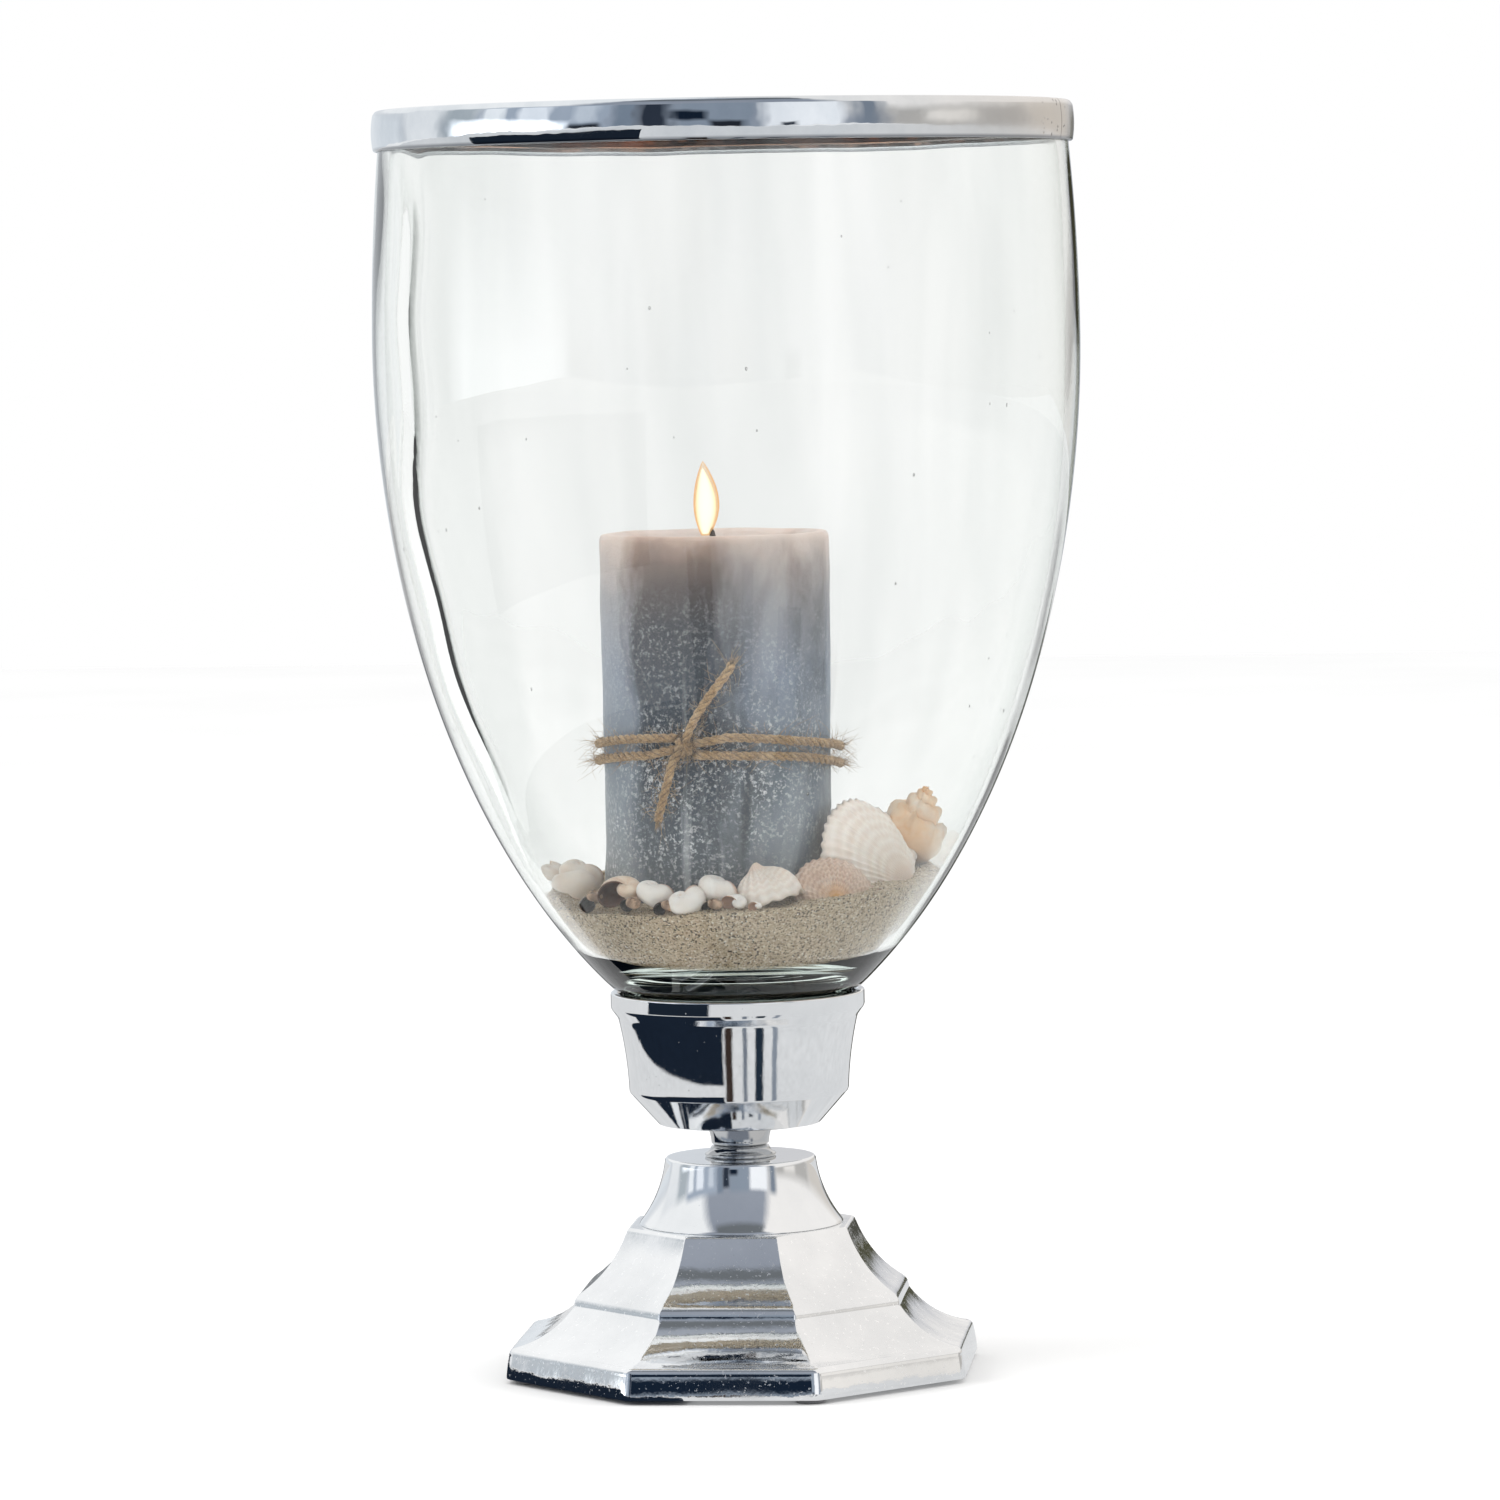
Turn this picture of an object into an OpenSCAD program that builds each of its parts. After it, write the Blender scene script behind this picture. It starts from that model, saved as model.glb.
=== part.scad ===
// Hurricane candle lantern. A polished cast stand (octagonal stepped foot, bell collar, waisted stem and
// round cup) is drawn together by one bolt. A thick-bottomed glass bowl with a metal rim band lifts out
// of the cup, and a pillar candle tied with twine lifts out of the sand and shells in the bowl.
// Origin: centre of the resting face. +Z is up and one flat of the foot faces -Y. Millimetres.

/* [Foot] */
// Width of the octagonal foot across its corners
foot_w = 152; // [146:1:156]
// Height of the octagonal casting, from the floor to the collar's seat
foot_h = 45.5; // [43:0.5:48]
// Thickness of the casting's web under the collar
web_t = 3.5; // [3:0.5:5]
// Thickness of each felt pad
pad_t = 1.2; // [0.8:0.2:2]

/* [Stem and cup] */
// Height of the bell collar
collar_h = 20.5; // [19:0.5:22]
// Height of the cup, from its underside to its lip
cup_h = 40.8; // [40:0.2:42]
// Diameter of the cup's lip
cup_w = 78; // [77:0.5:80]
// Diameter of the tie bolt's thread
bolt_d = 8; // [8:M8]

/* [Glass bowl] */
// Largest outer diameter of the bowl
bowl_w = 216; // [212:1:222]
// Thickness of the blown wall
glass_t = 3.6; // [3:0.1:4.2]
// Height of the rim band
band_h = 12.3; // [11:0.1:14]

/* [Candle and twine] */
// Diameter of the pillar candle
candle_d = 70; // [60:1:72]
// Height of the pillar candle
candle_h = 130; // [100:1:150]
// Thickness of the twine
twine_d = 2.8; // [2:0.1:3]

/* [Filling] */
// Height of the sand's surface above the floor, at the middle of the bowl
sand_z = 150.6; // [149:0.2:152]
// Turn of the bowl's filling about the vertical axis, measured from the foot's front flat
fill_turn = 5.7; // [0:0.1:10]

/* [Hidden] */
$fn = 96;

// Colours
metal = [0.86, 0.87, 0.88];
steel = [0.62, 0.64, 0.66];
black_rubber = [0.06, 0.06, 0.06];
felt_grey = [0.16, 0.16, 0.17];
clear_glass = [0.85, 0.92, 0.90, 0.35];
sand_beige = [0.80, 0.71, 0.57];
shell_cream = [0.93, 0.86, 0.77];
shell_white = [0.95, 0.93, 0.90];
shell_orange = [0.90, 0.68, 0.50];
shell_brown = [0.58, 0.42, 0.30];
wax_slate = [0.44, 0.48, 0.55];
wax_warm = [0.88, 0.74, 0.66];
wick_black = [0.12, 0.09, 0.08];
jute = [0.72, 0.56, 0.37];

// Heights up the stand
collar_z = foot_h;
collar_top = collar_z + collar_h;
boss_z = collar_top + 3.6;
cup_z = collar_top + 10.5;
cup_lip = cup_z + cup_h;
ledge_z = cup_z + 21.5;
gasket_t = 2.5;
glass_z = ledge_z + gasket_t;

// Foot
foot_r = foot_w / 2;
octagon_flat = cos(22.5);
foot_rim_w = 15.5;
pad_r = 4.5;
pad_ring_r = foot_r - foot_rim_w / 2;

// Fasteners, with clearance holes
bolt_r = bolt_d / 2 - 0.1;
bolt_hole_r = bolt_d / 2 + 0.25;
thread_pitch = 1.25;
thread_depth = 0.6;
washer_t = 1.6;
spring_t = 2;
nut_h = 6.5;
head_h = 5.3;
hex_r = 7.5;
pocket_z = cup_z + 7.5;
washer_r = 8.4;
bolt_len = 55;
thread_len = 22;

// Bowl: its widest ring, its floor and the edge that the rim band grips
bowl_r = bowl_w / 2;
wide_z = 316;
floor_z = glass_z + 24.5;
glass_top = 385.6;
band_top = 387.5;
band_low = band_top - band_h;
mouth_r = bowl_r - 2.8;
band_t = 1.2;
gap = 0.1;

// Candle, standing left of the bowl's middle
candle_x = -5;
candle_r = candle_d / 2;
candle_z = floor_z + 3;
candle_top = candle_z + candle_h;
dish_r = candle_r - 4.5;
dish_depth = 3;
wick_r = 1.1;
socket_gap = 0.4;

// The sand lies higher at the back and at the right
sand_tilt = 3.5;
sand_bank = 3;

// Twine: two turns round the candle, drawn up at the front where they are tied
twine_r = twine_d / 2;
wrap_r = candle_r + twine_r + 0.1;
wrap_z = 190.5;
wrap_gap = 2.6;
front_lift = 4.6;
side_drop = 1;
cross_over = 20;
knot_angle = 255;
knot_reach = wrap_r + 2.2;
knot_r = 3.2;
upper_tail = [
    [-9.4, -38.8, 197.5], [-8.2, -39.2, 200.5], [-6, -39.2, 204.6], [-3.2, -39, 208.8],
    [0, -38.4, 213], [3, -38, 217], [4.8, -38, 220]
];
lower_tail = [
    [-12, -38.6, 193.4], [-13.6, -39, 190.4], [-14.4, -39, 187], [-15.4, -38.8, 183.4],
    [-16.4, -38.6, 179.6], [-17.4, -38.4, 175.6], [-18, -38.2, 173]
];

// ---------- functions ----------

// Points along a circular arc from a to b. A positive bulge lies to the left of the way from a to b.
function arc(a, b, bulge, n) =
    let (
        chord = norm(b - a),
        depth = abs(bulge),
        r = (chord * chord / 4 + depth * depth) / (2 * depth),
        left = [a[1] - b[1], b[0] - a[0]] / chord * sign(bulge),
        centre = (a + b) / 2 - left * (r - depth),
        start = atan2(a[1] - centre[1], a[0] - centre[0]),
        end = atan2(b[1] - centre[1], b[0] - centre[0]),
        turn = end - start,
        sweep = turn > 180 ? turn - 360 : turn < -180 ? turn + 360 : turn
    )
    [for (i = [0:n]) centre + r * [cos(start + sweep * i / n), sin(start + sweep * i / n)]];

// A point of a cubic Bezier curve, and the unit vector to the left of its direction
function bezier(p, t) =
    pow(1 - t, 3) * p[0] + 3 * t * pow(1 - t, 2) * p[1] + 3 * t * t * (1 - t) * p[2] + pow(t, 3) * p[3];
function bezier_left(p, t) =
    let (d = pow(1 - t, 2) * (p[1] - p[0]) + 2 * t * (1 - t) * (p[2] - p[1]) + t * t * (p[3] - p[2]))
    [-d[1], d[0]] / norm(d);

// Side of the blown bowl, from the widest ring down to the cup's lip
bowl_curve = [[bowl_r, wide_z], [bowl_r, 243], [bowl_r - 23.5, 163], [38.5, cup_lip + 1.5]];
curve_steps = 28;

// Outer and inner profiles of the bowl, from the top edge down. inset moves the inner one further in.
function bowl_outer() = concat(
    [[mouth_r, glass_top - 0.5]],
    arc([mouth_r, band_low - 0.6], [bowl_r, wide_z], 0.6, 6),
    [for (i = [1:curve_steps]) bezier(bowl_curve, i / curve_steps)],
    [[36.3, cup_lip + 0.5], [35.2, cup_lip - 0.9], [34.3, cup_lip - 3.2]],
    [[32.7, glass_z + 7.5], [31.4, glass_z + 1.5]]
);
function bowl_inner(inset) =
    let (
        t = glass_t + inset,
        side = [for (i = [1:curve_steps]) bezier(bowl_curve, i / curve_steps)
            - bezier_left(bowl_curve, i / curve_steps) * t]
    )
    concat(
        [[mouth_r - t, glass_top - 0.5]],
        arc([mouth_r - t, band_low - 0.6], [bowl_r - t, wide_z], 0.6, 6),
        [for (p = side) if (p[1] > floor_z + 4) p],
        arc([41.5 - inset, floor_z + 3.2 + inset], [31, floor_z + inset], 0.8, 4)
    );

// Direction of a path at a point, and the ring of a tube there. side_way is never along the path.
function along(path, i) =
    let (a = path[max(i - 1, 0)], b = path[min(i + 1, len(path) - 1)]) (b - a) / norm(b - a);
function ring(path, i, r, sides, side_way) =
    let (
        t = along(path, i),
        across = cross(t, side_way),
        u = across / norm(across),
        v = cross(t, u)
    )
    [for (k = [0:sides - 1]) path[i] + r * (cos(360 * k / sides) * u + sin(360 * k / sides) * v)];

// ---------- shared modules ----------

// Upright solid with an octagonal section. profile lists [corner radius, height] from the bottom up.
module octagon_solid(profile) {
    half = [for (p = profile) [p[0] * octagon_flat, p[1]]];
    outline = concat(half, [for (i = [len(half) - 1:-1:0]) [-half[i][0], half[i][1]]]);
    intersection_for (turn = [0:45:135]) rotate([90, 0, turn])
        linear_extrude(height = 3 * foot_w, center = true) polygon(outline);
}

// Solid of revolution through a profile of [radius, height], closed along the axis
module turned(profile) {
    n = len(profile);
    rotate_extrude() polygon(concat([[0, profile[0][1]]], profile, [[0, profile[n - 1][1]]]));
}

module bored(r, low, high) {
    difference() {
        children();
        translate([0, 0, low - 1]) cylinder(r = r, h = high - low + 2);
    }
}

module washer(z, r, t) {
    bored(bolt_hole_r, z, z + t) translate([0, 0, z]) cylinder(r = r, h = t);
}

// Tube with closed ends, swept along a path
module tube(path, r, side_way, sides = 8) {
    n = len(path);
    points = [for (i = [0:n - 1]) each ring(path, i, r, sides, side_way)];
    walls = [for (i = [0:n - 2]) for (k = [0:sides - 1])
        let (next = (k + 1) % sides)
        [i * sides + k, i * sides + next, (i + 1) * sides + next, (i + 1) * sides + k]];
    first = [[for (k = [sides - 1:-1:0]) k]];
    last = [[for (k = [0:sides - 1]) (n - 1) * sides + k]];
    polyhedron(points, concat(walls, first, last), convexity = 6);
}

// Filling of the bowl: right, front and height, turned with the filling
module placed(right, front, z) {
    rotate([0, 0, fill_turn]) translate([right, -front, z]) children();
}

// One thin domed valve of a scallop or cockle, opening downwards, r across its middle
module valve(r, depth, t) {
    outer = arc([r, 0], [0, depth], -r * 0.1, 8);
    inner = arc([0, depth - t], [r - t, 0], r * 0.1, 8);
    rotate_extrude($fn = 48) polygon(concat(outer, inner));
}

// A turned spindle of a snail, from its blunt end to its spire, standing on its blunt end
module spire(r, h) {
    rotate_extrude($fn = 40)
        polygon(concat(
            [[0, 0]],
            arc([r * 0.45, 0], [r, h * 0.35], -r * 0.12, 3),
            arc([r, h * 0.36], [0.2, h], -r * 0.1, 5),
            [[0, h]]
        ));
}

// ---------- stand ----------

foot_profile = concat(
    [[foot_r - 0.6, pad_t], [foot_r, pad_t + 0.8], [foot_r - 1, 8]],
    arc([foot_r - 1.1, 8.2], [foot_r - 3, 10.7], -0.7, 4),
    arc([foot_r - 3.4, 10.8], [foot_r - 21.9, 22.4], 2, 12),
    arc([foot_r - 22.2, 23], [foot_r - 24, 26], -0.5, 3),
    arc([foot_r - 24.4, 26.5], [foot_r - 39, foot_h - 1.6], 1.8, 12),
    arc([foot_r - 39.3, foot_h - 1.1], [foot_r - 40.6, foot_h], -0.3, 2)
);
foot_cavity = [
    [foot_r - foot_rim_w, -1],
    [foot_r - foot_rim_w, 7],
    [foot_r - 26.5, 20],
    [foot_r - 29, 25],
    [foot_r - 43.5, foot_h - web_t]
];

module foot() {
    color(metal) bored(bolt_hole_r, 0, foot_h) difference() {
        octagon_solid(foot_profile);
        octagon_solid(foot_cavity);
    }
}

module felt_pads() {
    color(felt_grey) for (i = [0:3]) rotate([0, 0, 22.5 + 90 * i])
        translate([pad_ring_r, 0, 0]) cylinder(r = pad_r, h = pad_t);
}

module collar() {
    outside = concat(
        arc([31.4, collar_z], [23.2, collar_top - 0.8], 1.5, 14),
        arc([23.1, collar_top - 0.6], [22.4, collar_top], -0.2, 2)
    );
    hollow = [[27.4, collar_z - 1], [27.4, collar_z], [24.2, collar_z + 7], [20.6, collar_top - 4]];
    color(metal) bored(bolt_hole_r, collar_z, collar_top) difference() {
        turned(outside);
        turned(hollow);
    }
}

module ferrule() {
    color(metal) bored(bolt_hole_r, collar_top, boss_z)
        turned(concat(
            [[10.6, collar_top], [11, collar_top + 0.3], [11, collar_top + 0.8]],
            arc([10.6, collar_top + 1.1], [8.9, boss_z - 0.5], 0.3, 4),
            [[8, boss_z]]
        ));
}

module boss() {
    color(metal) bored(bolt_hole_r, boss_z, cup_z)
        turned(concat([[8, boss_z], [8.7, boss_z + 0.4]], arc([8.8, boss_z + 0.5], [10.7, cup_z], 0.4, 5)));
}

module cup() {
    lip_r = cup_w / 2;
    outside = concat(
        [[24.6, cup_z], [25.1, cup_z + 0.4], [33.3, cup_z + 9.3], [33.6, cup_z + 10]],
        arc([33.7, cup_z + 10.6], [36.6, cup_z + 32], 0.5, 6),
        arc([36.8, cup_z + 32.6], [lip_r - 0.4, cup_z + 35.6], 0.2, 3),
        [[lip_r, cup_z + 36], [lip_r, cup_lip - 0.5], [lip_r - 0.5, cup_lip], [36.9, cup_lip]]
    );
    hollow = [
        [27, pocket_z], [27, ledge_z], [32.8, ledge_z], [33, ledge_z + 2], [34.2, ledge_z + 10],
        [36.4, cup_lip - 4], [36.6, cup_lip - 0.3], [37, cup_lip + 1]
    ];
    color(metal) bored(bolt_hole_r, cup_z, pocket_z) difference() {
        turned(outside);
        turned(hollow);
    }
}

module cup_gasket() {
    color(black_rubber) rotate_extrude() polygon([
        [27.5, ledge_z], [32.7, ledge_z], [32.9, ledge_z + 2], [34.1, ledge_z + 10], [35.3, ledge_z + 13.8],
        [34.4, ledge_z + 13.8], [33.2, ledge_z + 10], [31.9, glass_z], [27.5, glass_z]
    ]);
}

// ---------- fasteners ----------

module tie_bolt() {
    head_z = pocket_z + washer_t;
    end_z = head_z - bolt_len;
    threads = floor(thread_len / thread_pitch);
    crests = [for (i = [0:threads - 1]) each [
        [bolt_r - thread_depth, end_z + thread_pitch * i],
        [bolt_r, end_z + thread_pitch * (i + 0.5)]
    ]];
    color(steel) {
        turned(concat(crests, [
            [bolt_r - thread_depth, end_z + thread_pitch * threads],
            [bolt_r, end_z + thread_len],
            [bolt_r, head_z]
        ]));
        translate([0, 0, head_z]) intersection() {
            cylinder(r = hex_r, h = head_h, $fn = 6);
            turned([[hex_r - 0.6, 0], [hex_r, 0.6], [hex_r, head_h - 1], [hex_r - 1.1, head_h]]);
        }
    }
}

module cup_washer() {
    color(steel) washer(pocket_z, washer_r, washer_t);
}

module foot_washer() {
    color(steel) washer(foot_h - web_t - washer_t, washer_r, washer_t);
}

module spring_washer() {
    z = foot_h - web_t - washer_t - spring_t;
    color(steel) difference() {
        washer(z, 6.4, spring_t);
        rotate([20, 0, 0]) translate([3, -0.6, z - 12]) cube([6, 1.2, 20]);
    }
}

module hex_nut() {
    z = foot_h - web_t - washer_t - spring_t - nut_h;
    color(steel) bored(bolt_d / 2, z, z + nut_h) translate([0, 0, z]) intersection() {
        cylinder(r = hex_r, h = nut_h, $fn = 6);
        turned([[hex_r - 1.1, 0], [hex_r, 0.7], [hex_r, nut_h - 0.7], [hex_r - 1.1, nut_h]]);
    }
}

// ---------- bowl ----------

module glass_bowl() {
    inside = bowl_inner(0);
    n = len(inside);
    top = [[mouth_r - 0.5, glass_top], [mouth_r - glass_t + 0.5, glass_top]];
    color(clear_glass) rotate_extrude($fn = 128) polygon(concat(
        [[0, glass_z], [30, glass_z]],
        [for (i = [len(bowl_outer()) - 1:-1:0]) bowl_outer()[i]],
        top,
        inside,
        [[0, inside[n - 1][1]]]
    ));
}

// U-section rolled over the glass edge: a crowned outer face and a short flange inside
module rim_band() {
    out_r = mouth_r + gap + band_t;
    in_r = mouth_r - glass_t - gap - 0.9;
    color(metal) rotate_extrude($fn = 128) polygon(concat(
        arc([out_r, band_low], [out_r, band_top - 1.2], -0.5, 8),
        [[out_r - 1, band_top], [in_r + 0.8, band_top], [in_r, band_top - 0.9], [in_r, band_low + 2.2]],
        [[in_r + 0.9, band_low + 2.2], [in_r + 0.9, glass_top + gap], [mouth_r + gap, glass_top + gap]],
        [[mouth_r + gap, band_low]]
    ));
}

// ---------- filling ----------

module sand() {
    inside = bowl_inner(gap);
    n = len(inside);
    color(sand_beige) difference() {
        intersection() {
            turned([for (i = [n - 1:-1:0]) inside[i]]);
            placed(0, 0, sand_z) rotate([sand_tilt, -sand_bank, 0])
                translate([-90, -90, -60]) cube([180, 180, 60]);
        }
        placed(candle_x, 0, candle_z - gap) cylinder(r = candle_r + socket_gap, h = 60);
    }
}

module scallop_large() {
    color(shell_cream) placed(40.6, 15.4, 160) rotate([60, 0, 40]) valve(18.5, 6.5, 1.8);
}

module scallop_small() {
    color(shell_orange) placed(28.7, 38, 153.6) rotate([32, 0, 10]) valve(11.4, 5.2, 1.6);
}

module whelk() {
    color(shell_orange) placed(52, -8, 155) rotate([6, 20, 0]) spire(8, 25);
}

module cockle() {
    color(shell_cream) placed(9.4, 43.4, 150.4) rotate([12, 0, 0]) valve(9.8, 8.4, 1.8);
}

module nerite() {
    color(shell_brown) placed(-34.2, 37.4, 152.2) sphere(r = 5.6);
}

// Round snails and pebble-like shells: right, front, height and radius of each
moon_places = [[-14.4, 48.8, 150.2, 4.6], [-5.2, 43.8, 151.8, 4.8], [-24, 43.6, 151.4, 4.4]];
pebble_places = [[-0.6, 51.6, 149.4, 3], [5.6, 54.4, 148.6, 1.6]];
cream_places = [[-48.6, 23.4, 153.2, 4.8], [-46.6, 9, 154.2, 5], [-55.4, 1, 155, 4]];
brown_places = [
    [-7, 52.4, 148.6, 2.2], [-21.2, 50, 148.4, 2.1], [-31, 45.4, 149.2, 2.2], [-42.4, 35.4, 149.6, 2.4],
    [41.8, 37.4, 150, 2]
];

module round_shells(places) {
    for (p = places) placed(p[0], p[1], p[2]) sphere(r = p[3], $fn = 48);
}

module moon_snails() {
    color(shell_white) round_shells(moon_places);
}

module pebble_shells() {
    color(shell_white) round_shells(pebble_places);
}

module cream_shells() {
    color(shell_cream) round_shells(cream_places);
}

module brown_snails() {
    color(shell_brown) round_shells(brown_places);
}

// ---------- candle ----------

module candle() {
    color(wax_slate) placed(candle_x, 0, 0) difference() {
        turned([
            [candle_r - 0.8, candle_z], [candle_r, candle_z + 0.8],
            [candle_r, candle_top - 1.4], [candle_r - 0.4, candle_top - 0.4], [candle_r - 1.2, candle_top]
        ]);
        translate([0, 0, candle_top - dish_depth]) turned([
            [dish_r - 4, 0], [dish_r, dish_depth - 1],
            [dish_r + 1.4, dish_depth], [dish_r + 1.4, dish_depth + 1]
        ]);
        translate([0, 0, candle_z - 1]) cylinder(r = wick_r + 0.05, h = candle_h);
    }
}

module melt_pool() {
    color(wax_warm) placed(candle_x, 0, candle_top - dish_depth) difference() {
        cylinder(r = dish_r - 4.5, h = 1);
        translate([0, 0, -1]) cylinder(r = wick_r + 0.05, h = 3);
    }
}

// The wick runs the height of the candle, and its burnt end leans to the left
module wick() {
    stub_z = candle_top - dish_depth + 2;
    color(wick_black) placed(candle_x, 0, 0) {
        translate([0, 0, candle_z]) cylinder(r = wick_r, h = stub_z - candle_z);
        translate([0, 0, stub_z - 0.4]) rotate([0, -28, 0]) cylinder(r = wick_r - 0.1, h = 5);
    }
}

// Height of the twine at an angle: the first turn lies under the second, and they cross behind the knot
function wrap_height(a) =
    wrap_z + wrap_gap * max(-1, min(1, (a - knot_angle - 360) / cross_over))
    + front_lift * max(0, -sin(a)) - side_drop * cos(a);

module twine_wraps() {
    steps = 72;
    start = knot_angle + 5;
    turn = 710;
    color(jute) placed(candle_x, 0, 0)
        tube([for (i = [0:steps])
            let (a = start + turn * i / steps)
            [wrap_r * cos(a), wrap_r * sin(a), wrap_height(a)]
        ], twine_r, [0, 0, 1]);
}

module twine_knot() {
    color(jute) placed(candle_x, 0, 0)
        translate([
            knot_reach * cos(knot_angle),
            knot_reach * sin(knot_angle),
            wrap_height(knot_angle + 360)
        ])
            sphere(r = knot_r, $fn = 40);
}

module twine_tails() {
    color(jute) placed(candle_x, 0, 0) {
        tube(upper_tail, twine_r, [0, 1, 0]);
        tube(lower_tail, twine_r, [0, 1, 0]);
    }
}

foot();
felt_pads();
collar();
ferrule();
boss();
cup();
cup_gasket();
tie_bolt();
cup_washer();
foot_washer();
spring_washer();
hex_nut();
glass_bowl();
rim_band();
sand();
scallop_large();
scallop_small();
whelk();
cockle();
nerite();
moon_snails();
pebble_shells();
brown_snails();
cream_shells();
candle();
melt_pool();
wick();
twine_wraps();
twine_knot();
twine_tails();
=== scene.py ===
import random
from math import atan2, cos, exp, hypot, pi, radians, sin, sqrt, tan

import bmesh
import bpy
import numpy as np
from mathutils import Matrix, Vector, noise


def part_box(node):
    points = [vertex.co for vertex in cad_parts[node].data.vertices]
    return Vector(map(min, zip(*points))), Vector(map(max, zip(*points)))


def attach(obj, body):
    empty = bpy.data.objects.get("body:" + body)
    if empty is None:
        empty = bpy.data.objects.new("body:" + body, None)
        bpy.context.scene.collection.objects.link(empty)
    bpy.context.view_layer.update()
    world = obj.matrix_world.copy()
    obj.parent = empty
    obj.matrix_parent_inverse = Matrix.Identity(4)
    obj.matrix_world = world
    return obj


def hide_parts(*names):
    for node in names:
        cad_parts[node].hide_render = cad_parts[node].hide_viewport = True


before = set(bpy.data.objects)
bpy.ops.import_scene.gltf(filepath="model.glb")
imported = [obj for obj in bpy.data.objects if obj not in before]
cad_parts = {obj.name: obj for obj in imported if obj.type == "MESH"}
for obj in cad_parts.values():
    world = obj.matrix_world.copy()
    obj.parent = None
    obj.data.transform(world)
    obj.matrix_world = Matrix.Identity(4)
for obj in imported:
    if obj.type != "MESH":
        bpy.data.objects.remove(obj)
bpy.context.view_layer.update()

MM = 0.001
TAU = 2 * pi

# The bowl's filling is turned a little from the foot's front flat, and the camera faces the filling.
FILL_TURN = radians(5.7)
CANDLE_LOW, CANDLE_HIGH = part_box("candle")
CANDLE_MIDDLE = (CANDLE_LOW + CANDLE_HIGH) / 2
CANDLE_R = (CANDLE_HIGH.x - CANDLE_LOW.x) / 2
CANDLE_TOP = CANDLE_HIGH.z

# The rim band's seam faces right of the camera.
SEAM_ANGLE = radians(-90) + FILL_TURN + radians(72)


def in_scene(name, data):
    """A new object linked into the scene."""
    obj = bpy.data.objects.new(name, data)
    bpy.context.scene.collection.objects.link(obj)
    return obj


# ---------- camera ----------

# Distances and heights in metres from the middle of the resting face, and the lens in mm.
CAMERA_DISTANCE = 2.108
CAMERA_HEIGHT = 0.333
CAMERA_ROLL = radians(-0.99)
CAMERA_LENS = 165.5
AIM_RIGHT = 0.0051
AIM_HEIGHT = 0.1909


def towards(right, front, up):
    """A point given as seen from the camera: right of the axis, towards the camera, and up."""
    s, c = sin(FILL_TURN), cos(FILL_TURN)
    return Vector((right * c + front * s, right * s - front * c, up))


def make_camera():
    data = bpy.data.cameras.new("camera")
    data.lens = CAMERA_LENS
    data.sensor_width = 36
    data.clip_end = 50
    camera = in_scene("camera", data)
    camera.location = towards(0, CAMERA_DISTANCE, CAMERA_HEIGHT)
    aim = towards(AIM_RIGHT, 0, AIM_HEIGHT) - camera.location
    turn = aim.to_track_quat("-Z", "Y").to_matrix().to_4x4()
    turn = turn @ Matrix.Rotation(CAMERA_ROLL, 4, "Z")
    camera.rotation_euler = turn.to_euler()
    bpy.context.scene.camera = camera


make_camera()


# ---------- shader helpers ----------

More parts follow.
